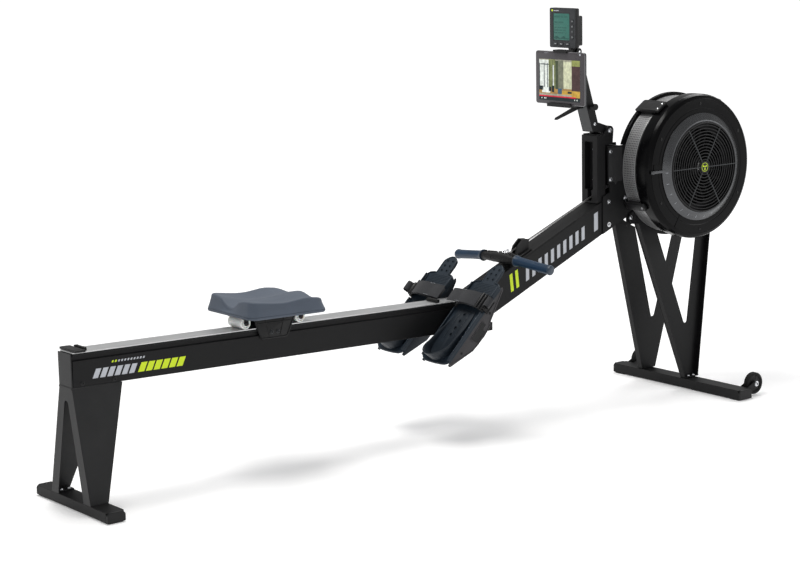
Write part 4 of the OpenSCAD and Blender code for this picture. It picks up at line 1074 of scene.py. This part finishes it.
# ---------------------------------------------------------------- handle and chain
def handle():
    core = Build(ROOT)
    # body of the core: thick in the middle, narrowing into the grips
    sec = []
    for y, r, dx in [(-84, 13.2, 1.6), (-78, 14.2, 1.4), (-66, 15.2, 0.6), (-50, 16.2, 0.2),
            (-34, 17.2, 0.3), (-18, 18.2, 1.4), (0, 18.6, 2), (18, 18.2, 1.4), (34, 17.2, 0.3),
            (50, 16.2, 0.2), (66, 15.2, 0.6), (78, 14.2, 1.4), (84, 13.2, 1.6)]:
        sec.append((y, r, dx))
    rings = []
    for y, r, dx in sec:
        z0 = 500 if abs(y) < 45 else 500 - (abs(y) - 45) * 0.075
        rings.append([(1475.5 + dx + r * copysign(abs(cos(a)) ** 0.85, cos(a)), y, z0 + r * 0.86
            * copysign(abs(sin(a)) ** 0.85, sin(a))) for a in (2 * pi * k / 32 for k in range(32))])
    core.loft(rings, PLASTIC)
    # slanting ribs and bosses on both halves
    for s in (-1, 1):
        for k in range(5):
            y = s * (26 + 9 * k)
            r = 18.0 - 0.055 * abs(y)
            ring = [(1475.9 + r * 1.02 * cos(a), y + s * 2.5 * sin(a), 500 + r * 0.9 * sin(a))
                for a in (2 * pi * j / 32 for j in range(32))]
            core.tube(ring, 1.25, PLASTIC, closed=True)
        for k in range(4):
            core.cyl((1474, s * (20 + 14 * k), 513), (1474, s * (20 + 14 * k), 516.6), 3.0, BLACK2,
                hollow=1.6, seg=20)
        core.socket_bolt((1482, s * 14, 514.2), (0, 0, 1), 4.2, 2.6, CHROME, dark=BLACK2)
        core.prism(fillet([(1484, 488), (1503, 491), (1504, 508), (1486, 513)], 3), s * 6.2, s * 10.4,
            PLASTIC, "Y", 0.9)
    # open yoke that carries the pull to the chain, with slots through it
    yoke = fillet([(1462, -52, 6), (1478, -66, 4), (1491, -60, 4), (1508.5, -14, 6), (1509, 14, 6),
        (1491, 60, 4), (1478, 66, 4), (1462, 52, 6)], 5, 5)
    slots = []
    for s in (-1, 1):
        slots.append(fillet([(1483, s * 17), (1500.5, s * 15), (1495, s * 30), (1484, s * 34)][::s],
            2.5, 4))
        slots.append(fillet([(1484, s * 38), (1493.5, s * 35), (1488.5, s * 49), (1484, s * 52)][::s],
            2, 4))
    core.plate(yoke, slots, 493, 511, PLASTIC, "Z", 1.8, res=3)
    for s in (-1, 1):
        core.tube(smooth_path([(1478, s * 62, 511), (1489, s * 57, 511.4), (1505, s * 14, 511.6)], 5),
            2.0, PLASTIC)
        core.tube([(1472, s * 14, 511.2), (1503, s * 12, 511.4)], 1.8, PLASTIC)
    # chrome bail and swivel to the chain
    core.tube(smooth_path([(1491, -9, 509), (1498, -9.4, 516), (1505, -6.4, 520), (1508.4, 0, 520.6),
        (1505, 6.4, 520), (1498, 9.4, 516), (1491, 9, 509)], 5), 1.9, CHROME, seg=12)
    core.tube(smooth_path([(1498, 0, 512), (1505, 0, 519.6), (1510.5, 0, 514), (1511, 0, 508)], 5), 1.7,
        CHROME, seg=12)
    core.cyl((1493, -12.5, 510), (1493, 12.5, 510), 2.4, CHROME)
    core.make("handle_core_ribbed", "handle", ["handle_core"], "plastic_black", 35)

    g = Build(ROOT)
    for s in (-1, 1):
        pts = [(1475.8, 76, 498), (1476.8, 86, 497.1), (1478.6, 106, 495.4), (1481.4, 134, 492.6),
            (1485.4, 170, 488.6), (1488.8, 203, 485.2), (1489.8, 211, 484.4)]
        P = [Vector((p[0], s * p[1], p[2])) for p in smooth_path(pts, 6)]
        n = len(P)
        prof = [(0, 16.4), (0.03, 17.2), (0.1, 16.6), (0.2, 15.4), (0.4, 14.6), (0.6, 14.7),
            (0.8, 15.1), (0.93, 15.2), (1.0, 14.9)]
        xs, vs = [p[0] for p in prof], [p[1] for p in prof]
        R = [lerp_table(xs, vs, i / (n - 1)) for i in range(n)]
        g.tube(P, R, GRIP, seg=36, squash=0.93)
        # fine moulded lines along the grip
        for a in (-0.9, 0.0, 0.9, 2.25, 3.15, 4.05):
            line = []
            for i in range(4, n - 4):
                line.append(P[i] + Vector((cos(a) * R[i] * 0.96, 0, sin(a) * R[i] * 0.955)))
            g.tube(line, 0.55, GRIP, seg=6)
        # end cap with its rounded face
        M = facing(P[-1], P[-1] - P[-3])
        g.lathe([(14.4, -3), (15.2, -2.4), (15.3, 1.5), (14.4, 4.6), (11.5, 6.6), (6, 7.4), (0, 7.6),
            (0, -3)], GRIP2, M, 40, "Z", closed=False, rnd=0.6)
        M0 = facing(P[0], P[2] - P[0])
        g.lathe([(13, -2.6), (17.4, -2.2), (18, -0.4), (17.6, 1.8), (13, 2.4)], GRIP2, M0, 40, "Z",
            rnd=0.5)
    g.make("handle_grips_moulded", "handle", ["handle_grips"], "grip_blue", 45)


PITCH, TEETH = 6.35, 14
HOOK, GUIDE, RETURN = Vector((1506, 506)), Vector((1888, 661)), Vector((1880, 591))
HUB = Vector((2171, 729))
ON, OFF = 106.3, -66.9
GROUPS = 6


def along(pts, pitch):
    """Places every pitch along a line of points."""
    out, left = [], 0.0
    for a, b in zip(pts, pts[1:]):
        L, s = (b - a).length, left
        while s < L - 1e-6:
            out.append(a + (b - a) * (s / L))
            s += pitch
        left = s - L
    return out


def link_plate(b, p, q, y0, y1, r=2.5, w=1.75):
    """A chain link's side plate from pin p to pin q, in X and Z."""
    d = q - p
    a0, mid = atan2(d.y, d.x), (p + q) / 2
    waist = Vector((-d.y, d.x)).normalized() * w
    out = []
    for end, side, turned in ((p, -waist, 50), (q, waist, -130)):
        out += [end + Vector((cos(a0 + radians(a)), sin(a0 + radians(a)))) * r
                for a in range(turned, turned + 261, 65)]
        out.append(mid + side)
    b.prism([tuple(v) for v in out], y0, y1, CHAIN, "Y", 0)


def links(stations, first):
    b = Build(ROOT)
    for i, (p, q) in enumerate(zip(stations, stations[1:]), first):
        y0, y1 = (1.85, 2.55) if i % 2 else (1.1, 1.75)
        for s in (-1, 1):
            link_plate(b, p, q, *sorted((s * y0, s * y1)))
        b.prism(circle(1.75, 8, p.x, p.y), -1.05, 1.05, CHAIN, "Y", 0)
        b.prism(circle(0.85, 6, p.x, p.y), -2.85, 2.85, CHAIN, "Y", 0)
    return b


def share(w):
    """Where along a blend its smooth weight is w."""
    return 0.5 - sin(asin(1 - 2 * w) / 3)


def chain():
    r = PITCH / 2 / sin(pi / TEETH)
    arc = [HUB + Vector((cos(radians(a)), sin(radians(a)))) * r
           for a in (ON + k * (OFF - ON) / 12 for k in range(13))]
    st = along([HOOK, GUIDE] + arc + [RETURN], PITCH)
    run = (GUIDE - HOOK).length
    top = int(run / PITCH)
    per = ceil(top / GROUPS)
    for g in range(GROUPS):
        i0, i1 = g * per, min((g + 1) * per, top)
        o = links(st[i0:i1 + 1], i0).make(f"chain_links_{g + 1}", None, slot="chain_steel", weld=False)
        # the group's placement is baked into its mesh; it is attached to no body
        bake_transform(o)
        if g == 0:
            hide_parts("chain")
    links(st[top:], top).make("chain_links_drive", "frame", slot="chain_steel", weld=False)

    # sprocket with real teeth
    s_ = Build(AXLE)
    out = []
    for i in range(TEETH):
        for da, rr in ((-0.19, -1.9), (-0.105, 0.4), (-0.045, 1.5), (0.045, 1.5), (0.105, 0.4),
                (0.19, -1.9)):
            a = 2 * pi * i / TEETH + da
            out.append(((r + rr) * cos(a), (r + rr) * sin(a)))
    s_.plate(out, [circle(8.1, 32)], -1.0, 1.0, CHAIN, "Y", 0.25, res=1)
    s_.lathe([(8.1, -11), (10.6, -11), (10.6, 30), (8.1, 30)], CHAIN, seg=48, rnd=0.5)
    s_.make("sprocket_toothed", "sprocket", ["sprocket"], "chain_steel", 35)

    # the elastic return cord: a braided sleeve with its shackle and anchor
    c = Build(ROOT)
    a, e = Vector((1868, 0, 585.6)), Vector((1352, 0, 352))
    n = 120
    path = [a + (e - a) * i / n for i in range(n + 1)]
    c.tube(path, [4.7 + 0.28 * (i % 2) for i in range(n + 1)], RUBBER, seg=12)
    for s in (-1, 1):
        c.prism(fillet([(1864, 579.5), (1890, 589), (1890, 598), (1864, 593)], 2), s * 3, s * 6, CHROME,
            "Y", 0.5)
    c.cyl((1870, -8, 586.4), (1870, 8, 586.4), 3.2, CHROME)
    c.cyl((1881, -7, 592), (1881, 7, 592), 2.4, CHROME)
    c.cyl((1352, -32.3, 352), (1352, 32.3, 352), 6, CHROME)
    c.lathe([(4.4, 0), (7.5, 0), (7.5, 14), (5.5, 22), (4.4, 22)], PLASTIC, facing(a, e - a), 24, "Z",
        rnd=0.8)
    c.make("return_cord_braided", "frame", ["return_cord"], "rubber")


handle()
chain()

# ---------------------------------------------------------------- monitor and tablet
def monitor():
    b = Build(ROOT)
    X, Z = 1737, 1120
    # bezel plate round the window, with a raised frame
    out = rect(-57, Z, 57, Z + 121, 6, 5)
    win = rect(-31.5, Z + 23.5, 39.5, Z + 104.5, 2, 3)
    wells = [rect(y - 8.2, Z + 7.8, y + 8.2, Z + 16.2, 2, 3) for y in (30, 4, -24)]
    wells += [rect(-51.2, Z + z - 5.2, -40.8, Z + z + 5.2, 2, 3) for z in (34, 50, 66, 82)]
    b.plate(out, [win] + wells, X + 0.1, X + 2.6, MONGREY, "X", 0.9, res=2)
    b.plate(out, [win] + wells, X + 2.6, X + 5.6, PLASTIC, "X", 0.3, res=1)
    b.plate(out, [], X + 5.9, X + 18.9, PLASTIC, "X", 2.0, res=3)
    b.plate(out, [], X + 5.55, X + 6.1, BLACK2, "X", 0.1, res=1)
    rim = [(y, z) for y, z in rect(-33.6, Z + 21.4, 41.6, Z + 106.6, 4, 4)]
    b.tube([(X + 0.5, y, z) for y, z in rim], 0.75, PLASTIC, closed=True)
    b.tube([(X + 0.9, y, z) for y, z in rect(-54.6, Z + 2.4, 54.6, Z + 118.6, 5, 4)], 1.0, MONGREY,
        closed=True)
    # generic badge and dash above the window
    b.box((X - 0.1, 42, Z + 110), (X + 0.8, 48, Z + 115.5), LIME, 0.3)
    for y in (16, 24, 32):
        b.box((X - 0.1, y, Z + 111.2), (X + 0.8, y + 6, Z + 114), PALE, 0.3)
    b.box((X - 0.1, -46, Z + 110.6), (X + 0.8, -38, Z + 114.6), MONGREY, 0.3)
    # battery box with its door, ribs and screws
    bo = rect(-44, Z + 6, 44, Z + 97, 5, 4)
    b.plate(bo, [], X + 18.5, X + 44.8, PLASTIC, "X", 2.6, res=3)
    b.plate(rect(-33, Z + 14, 33, Z + 62, 3, 3), [], X + 43.6, X + 45, BLACK2, "X", 0.5, res=2)
    for y in (-20, 20):
        for z in (Z + 70, Z + 90):
            b.socket_bolt((X + 44.2, y, z), (1, 0, 0), 2.6, 0.75, CHROME)
    for z in range(5):
        for s in (-1, 1):
            b.box((X + 22, s * 43.2 - 0.7, Z + 18 + z * 15), (X + 41, s * 43.2 + 0.75, Z + 21 + z * 15),
                PLASTIC, 0.5)
    # lug and pivot that turn between the arm's ears
    b.prism([(1766, 1128), (1782, 1128), (1797, 1105), (1781, 1100)], -12.2, 12.2, PLASTIC, "Y", 1.2)
    b.cyl((1790, -12.5, 1106), (1790, 12.5, 1106), 10.6, PLASTIC, seg=48)
    b.cyl((1790, -20.5, 1106), (1790, 20.5, 1106), 3.95, CHROME)
    b.make("monitor_case_shell", "monitor", ["monitor_case"], "plastic_black", 35)

    # LCD: bars standing a hair off the pane
    s = Build(ROOT)
    x1 = X + 0.55
    s.plate(rect(-32.6, Z + 22.6, 40.6, Z + 105.4, 1, 2), [], X + 0.9, X + 2.2, LCD, "X", 0.2, res=1)

    # plain bars where the real screen has figures
    for z, h, parts in ((92, 6, (24, 10, 16)), (75, 5, (14, 22)), (60, 3, (10, 16, 20)),
            (52, 3, (18, 12, 12)), (44, 3, (12, 22, 10))):
        y = 36.0
        for w in parts:
            s.box((x1, y - w, Z + z), (x1 + 0.5, y, Z + z + h), LCDINK2, 0.1, 1)
            y -= w + 4
    for z in (70, 87):
        s.box((x1, -31, Z + z), (x1 + 0.5, 39, Z + z + 0.5), LCDINK2, 0.1, 1)
    for i in range(14):
        s.box((x1, 33 - i * 4.6, Z + 27), (x1 + 0.5, 35.6 - i * 4.6, Z + 29 + 3.5 * (1 + sin(i * 0.9))),
            LCDINK, 0.1, 1)
    s.make("lcd_pane_figures", "monitor", ["monitor_screen"], "lcd")

    # keys, each with a raised mark
    def key(name, y, z, hw, hh, marks):
        k = Build(ROOT)
        o = rect(y - hw, z - hh, y + hw, z + hh, 1.9, 4)
        k.plate(o, [], X - 1.55, X + 4.0, KEY, "X", 0.9, res=3)
        for m_ in marks:
            k.box((X - 1.59, y + m_[0], z + m_[1]), (X - 1.2, y + m_[2], z + m_[3]), KEYMARK, 0.12, 1)
        k.make(name + "_cap", name, [name], "button_grey")

    for i, y in enumerate((30, 4, -24)):
        key(f"bottom_button_{i + 1}", y, Z + 12, 8, 4, [(-4.5, -1, 4.5, 1)] if i != 1
            else [(-4.5, 0.4, 4.5, 1.6), (-4.5, -1.6, 4.5, -0.4)])
    for i, z in enumerate((34, 50, 66, 82)):
        key(f"side_button_{i + 1}", -46, Z + z, 5, 5, [(-2.6, -0.6, 2.6, 0.6)] if i % 2
            else [(-2.4, -2.2, -1.2, 2.2), (1.2, -2.2, 2.4, 2.2)])


def tablet():
    X, Z, w, h = 1727, 946, 223, 163
    b = Build(ROOT)
    o = rect(-w / 2, Z, w / 2, Z + h, 9, 8)
    oi = rect(-w / 2 + 1.6, Z + 1.6, w / 2 - 1.6, Z + h - 1.6, 8, 8)
    b.plate(o, [], X + 0.9, X + 7.9, MONGREY, "X", 2.2, res=4)
    b.plate(oi, [], X + 0.35, X + 1.5, TABGLASS, "X", 0.2, res=1)
    b.tube([(X + 1.2, y, z) for y, z in rect(-w / 2 + 1.1, Z + 1.1, w / 2 - 1.1, Z + h - 1.1, 8.4, 8)],
        0.85, ALU, seg=10, closed=True)
    # speaker dots, camera and a key on the bezel
    for i in range(9):
        b.cyl((X + 0.1, 70 - i * 2.4, Z + h - 6), (X + 0.6, 70 - i * 2.4, Z + h - 6), 0.6, PALE, seg=10,
            edge=0.1)
    b.cyl((X + 0.1, -78, Z + h - 6), (X + 0.6, -78, Z + h - 6), 1.8, BLACK2, seg=24, edge=0.1)
    b.cyl((X + 0.05, -78, Z + h - 6), (X + 0.6, -78, Z + h - 6), 0.9, ALU, seg=16, edge=0.1)
    b.box((X + 0.1, -92, Z + h - 9), (X + 0.6, -86, Z + h - 4), PALE, 0.2, 1)
    # the picture: panels laid out as a room, left to right from the viewer's side
    x0, x1 = X + 0.1, X + 0.5

    def pane(u0, v0, u1, v1, mat, lift=0.0):
        """u from the viewer's left 0..1, v from the bottom 0..1 of the lit area."""
        ya, yb = 95 - 184 * u0, 95 - 184 * u1
        za, zb = Z + 12 + 126 * v0, Z + 12 + 126 * v1
        b.box((x0 - lift, min(ya, yb), za), (x1, max(ya, yb), zb), mat, 0.03, 1)

    for u0, v0, u1, v1, patch, lift in (
            (0, 0, 1, 1, "wall", 0), (0, 0.16, 1, 0.30, "floor", 2), (0, 0.30, 0.235, 0.98, "light", 2),
            (0, 0.30, 0.018, 0.90, "mullion", 4), (0.115, 0.30, 0.133, 0.90, "mullion", 4),
            (0.20, 0.30, 0.218, 0.90, "mullion", 4), (0.03, 0.86, 0.235, 0.885, "mullion", 4.5),
            (0.235, 0.30, 0.40, 1.0, "curtain", 3), (0.25, 0.30, 0.262, 0.98, "fold", 4.5),
            (0.285, 0.30, 0.297, 0.98, "fold", 4.5), (0.325, 0.30, 0.337, 0.98, "fold", 4.5),
            (0.365, 0.30, 0.377, 0.98, "fold", 4.5), (0.33, 0.34, 0.37, 0.86, "light", 4),
            (0.40, 0.28, 0.47, 0.97, "fold", 3.5), (0.47, 0.28, 0.60, 0.99, "curtain2", 3.5),
            (0.60, 0.30, 0.80, 0.96, "cream", 3), (0.80, 0.26, 1.0, 0.86, "brown", 3.5),
            (0.80, 0.86, 1.0, 1.0, "olive", 3.5), (0.0, 0.24, 0.10, 0.34, "dark", 5),
            (0.07, 0.18, 0.27, 0.31, "light", 5), (0.24, 0.22, 0.30, 0.33, "dark", 5.5),
            (0.31, 0.20, 0.37, 0.36, "dark", 5.5), (0.46, 0.17, 0.56, 0.30, "blue", 5.5),
            (0.56, 0.16, 0.80, 0.25, "ochre", 5), (0.70, 0.19, 0.80, 0.24, "dark", 5.5),
            (0.80, 0.10, 1.0, 0.26, "ochre", 4.5), (0, 0, 1, 0.10, "dark", 5),
            (0.0, 0.085, 0.90, 0.115, "red", 6)):
        pane(u0, v0, u1, v1, PICS[patch], lift * 0.01)
    for u in (0.05, 0.12, 0.15, 0.86, 0.92):
        pane(u, 0.03, u + 0.022, 0.06, PICS["light"], 0.06)
    b.make("tablet_lit_picture", "cradle", ["tablet"], "tablet_glass", 35)
    c = Build(ROOT)
    # cradle: lip pads and back ribs
    for y in (-40, 0, 40):
        c.prism(rect(X - 7.9, Z - 5, X - 2, Z + 4, 1.6), y - 9, y + 9, RUBBER, "Y", 0.8)
    for y in (-46, -16, 16, 46):
        c.box((X + 13.2, y - 2, Z + 24), (X + 15.2, y + 2, Z + 148), PLASTIC, 0.8)
    c.make("cradle_pads_ribs", "cradle", slot="plastic_black")
    k = Build(ROOT)
    for y in (-24, -8, 8):
        k.box((X - 6, y, Z + h + 5.1), (X + 18, y + 4, Z + h + 5.7), PLASTIC, 0.25)
    k.make("clip_ribs", "clip", slot="plastic_black")


def arm():
    b = Build(ARM)
    # lighter face toward the user, with rolled edges; screws at the foot
    b.box((-28.35, -21.5, 3), (-27.9, 21.5, 112), ARMGREY, 0.2, 1)
    for s in (-1, 1):
        b.tube([(-27.6, s * 23.4, 2), (-27.6, s * 23.4, 116)], 0.75, BLACK)
        b.socket_bolt((-14, s * 24, 22), (0, s, 0), 4.2, 2.2, CHROME)
        b.socket_bolt((-14, s * 24, 210), (0, s, 0), 3.4, 1.8, BLACK2)
    b.make("monitor_arm_details", "arm", slot="frame_black", angle=35)


monitor()
tablet()
arm()

# ---------------------------------------------------------------- frame: decals, bolts, wheels
def slant(b, x0, x1, z0, z1, y, mat, lean=0.28, th=0.26):
    """A thin slanted bar standing on a side face at y."""
    k = lean * (z1 - z0)
    s = 1 if y > 0 else -1
    a, c = (y - 0.05, y + th) if s > 0 else (y - th, y + 0.05)
    b.prism([(x0, z0), (x1, z0), (x1 + k, z1), (x0 + k, z1)], a, c, mat, "Y", 0.06, 1)


def decals():
    r = Build(RAIL)
    for s in (-1, 1):
        y = s * RAILW
        for i in range(6):
            slant(r, 38 + i * 22, 54 + i * 22, -75, -50, y, PALE, 0.45)
        for i in range(6):
            slant(r, 176 + i * 24, 195 + i * 24, -75, -50, y, LIME, 0.45)
        for i in range(11):
            slant(r, 96 + i * 9.5, 101 + i * 9.5, -39, -33.5, y, LIME if i < 2 else PALE, 0.45)
    r.make("rail_side_stripes", "frame", slot="slate_plastic", weld=False)
    b = Build(BOOM)
    for s in (-1, 1):
        y = s * BOOMW
        slant(b, 196, 208, 24, 76, y, LIME, 0.3)
        slant(b, 220, 232, 24, 76, y, LIME, 0.3)
        for i in range(10):
            slant(b, 262 + i * 28, 276 + i * 28, 24, 62, y, PALE, 0.42)
        slant(b, 572, 590, 24, 76, y, PALE, 0.42)
    b.make("boom_side_stripes", "frame", slot="slate_plastic", weld=False)


RAILW, BOOMW, WHEEL_X, FBX = 33.0, 35.5, 2259, 2191


def washer(b, M, r):
    b.lathe([(0, 0), (r, 0), (r, 0.5), (0, 0.6)], CHROME, M, 28, "Z", closed=False)


def bolts():
    b = Build(ROOT)
    r = Build(RAIL)
    for s in (-1, 1):
        side = turn(-90 * s, "X")
        # rear leg's bolts through the rail
        for x in (8, 104):
            r.socket_bolt((x, s * 33.1, -84), (0, s, 0), 5.4, 2.6, BLACK2, dark=BLACK2)
        # flywheel bracket's bolts
        for x, z in ((1901, 790), (1901, 702), (1895, 633), (1895, 560), (1965, 637)):
            up = 1.0 if z > 690 else 0.0
            washer(b, Matrix.Translation((x, s * (40.1 + up), z)) @ side, 7.6)
            b.socket_bolt((x, s * (40.5 + up), z), (0, s, 0), 5, 3.4 - up * 0.4, CHROME, dark=BLACK2)
        b.cyl((1985, s * 36, 573), (1985, s * 46.6, 573), 3.8, CHROME)
        b.socket_bolt((1985, s * 46.2, 573), (0, s, 0), 5.6, 2.6, CHROME, dark=BLACK2)
        # monitor arm's pivot
        washer(b, move(1906, s * 34.1, 855) @ side, 9.5)
        b.socket_bolt((1906, s * 34.6, 855), (0, s, 0), 6.5, 4, CHROME, dark=BLACK2)
        # feet of the legs on their bars
        for x in (FBX - 2, FBX + 20):
            washer(b, move(x, s * 101, 38.3), 7.2)
            b.socket_bolt((x, s * 101, 38.7), (0, 0, 1), 5, 3.4, CHROME, dark=BLACK2)
        for x in (-8, 14):
            washer(b, move(x, s * 86, 33.6), 7.2)
            b.socket_bolt((x, s * 86, 34.0), (0, 0, 1), 5, 3.4, CHROME, dark=BLACK2)
        for y in (190, -319):
            b.cyl((WHEEL_X, y, 40), (WHEEL_X, y + s * 16, 40), 3.95, CHROME)
            b.socket_bolt((WHEEL_X, y + s * 15.6, 40), (0, s, 0), 7, 3.2, CHROME, dark=BLACK2)
    for z in (702, 796):
        b.socket_bolt((1869.9, 3, z), (-1, 0, 0), 4.4, 3.6, CHROME, dark=BLACK2)
    b.make("frame_fasteners", "frame", ["frame_bolts"], "bright_steel")
    r.make("rail_fasteners", "frame", slot="bright_steel")


def wheels():
    for name, y in (("wheel_left", 190), ("wheel_right", -319)):
        w = Build(ROOT @ Matrix.Translation(((WHEEL_X) * MM, y * MM, 0.040)))
        w.lathe([(26.5, -9, 0.5), (33.6, -9, 1.6), (35, -6.6, 2), (35, 6.6, 2), (33.6, 9, 1.6),
            (26.5, 9, 0.5)], RUBBER, seg=96, rnd=0.6)
        for k in range(-1, 2):
            w.lathe([(34.6, k * 3.6 - 0.7), (35.0, k * 3.6 - 0.5), (35.0, k * 3.6 + 0.5),
                (34.6, k * 3.6 + 0.7)], RUBBER, seg=96, rnd=0.1)
        w.lathe([(4.05, -12), (10, -12, 0.8), (10, -7, 1), (13.5, -5.2, 1), (24, -5.2, 1),
            (26.6, -8.6, 0.6), (26.6, 8.6, 0.6), (24, 5.2, 1), (13.5, 5.2, 1), (10, 7, 1),
            (10, 12, 0.8), (4.05, 12)], PLASTIC, seg=72)
        for k in range(5):
            M = turn(72 * k, "Y")
            w.box((9, -6.4, -1.6), (25.4, 6.4, 1.6), PLASTIC, 0.8, M=M)
        w.make(name + "_tyre_hub", name, [name], "rubber", 35)


def extras():
    t = Build(RAIL)
    # painted highlight: a thin strip of lighter, glossier black along each side of the rail, just under
    # the seat track's edge
    for s in (-1, 1):
        t.box((1, s * 33.05 - 0.1, -6.5), (1270, s * 33.05 + 0.1, -5.9), BLACK2, 0.05, 1)
    t.make("rail_edge_highlight", "frame", slot="frame_black", weld=False)
    g = Build(ROOT)
    for s in (-1, 1):
        ya, yb = sorted((s * 35.3, s * 36.05))
        g.prism(fillet([(1858, 527), (1871, 532.5), (1871, 636), (1858, 630)], 1), ya, yb, BLACK, "Y",
            0.2, 1)
        ya, yb = sorted((s * 36.3, s * 39.7))
        g.prism(fillet([(1972, 545), (2000, 552), (2048, 600), (2036, 645), (1996, 625)], 4), ya, yb,
            BLACK, "Y", 0.5)
        # lighter cover plate on the bracket with its pointed tab
        ya, yb = sorted((s * 39.9, s * 41.0))
        g.prism(fillet([(1893, 694), (1918, 694), (1924, 682), (1930, 694), (1952, 694), (1952, 802),
            (1893, 802)], 4), ya, yb, COVER, "Y", 0.5)
    g.make("bracket_gussets", "frame", slot="frame_black")


def stops():
    b = Build(RAIL)
    for x in (16, 1206):
        b.prism(fillet([(x, 0.2), (x + 12, 0.2), (x + 11.4, 9.5), (x + 0.6, 9.5)], 2.4), -25, 25,
            RUBBER, "Y", 1.4, 3)
        for y in (-16, 16):
            b.socket_bolt((x + 6, y, 9.3), (0, 0, 1), 3.2, 1.4, BLACK2, dark=BLACK2)
    b.make("seat_stop_bumpers", "frame", ["seat_stops"], "rubber")


decals()
bolts()
wheels()
extras()
stops()
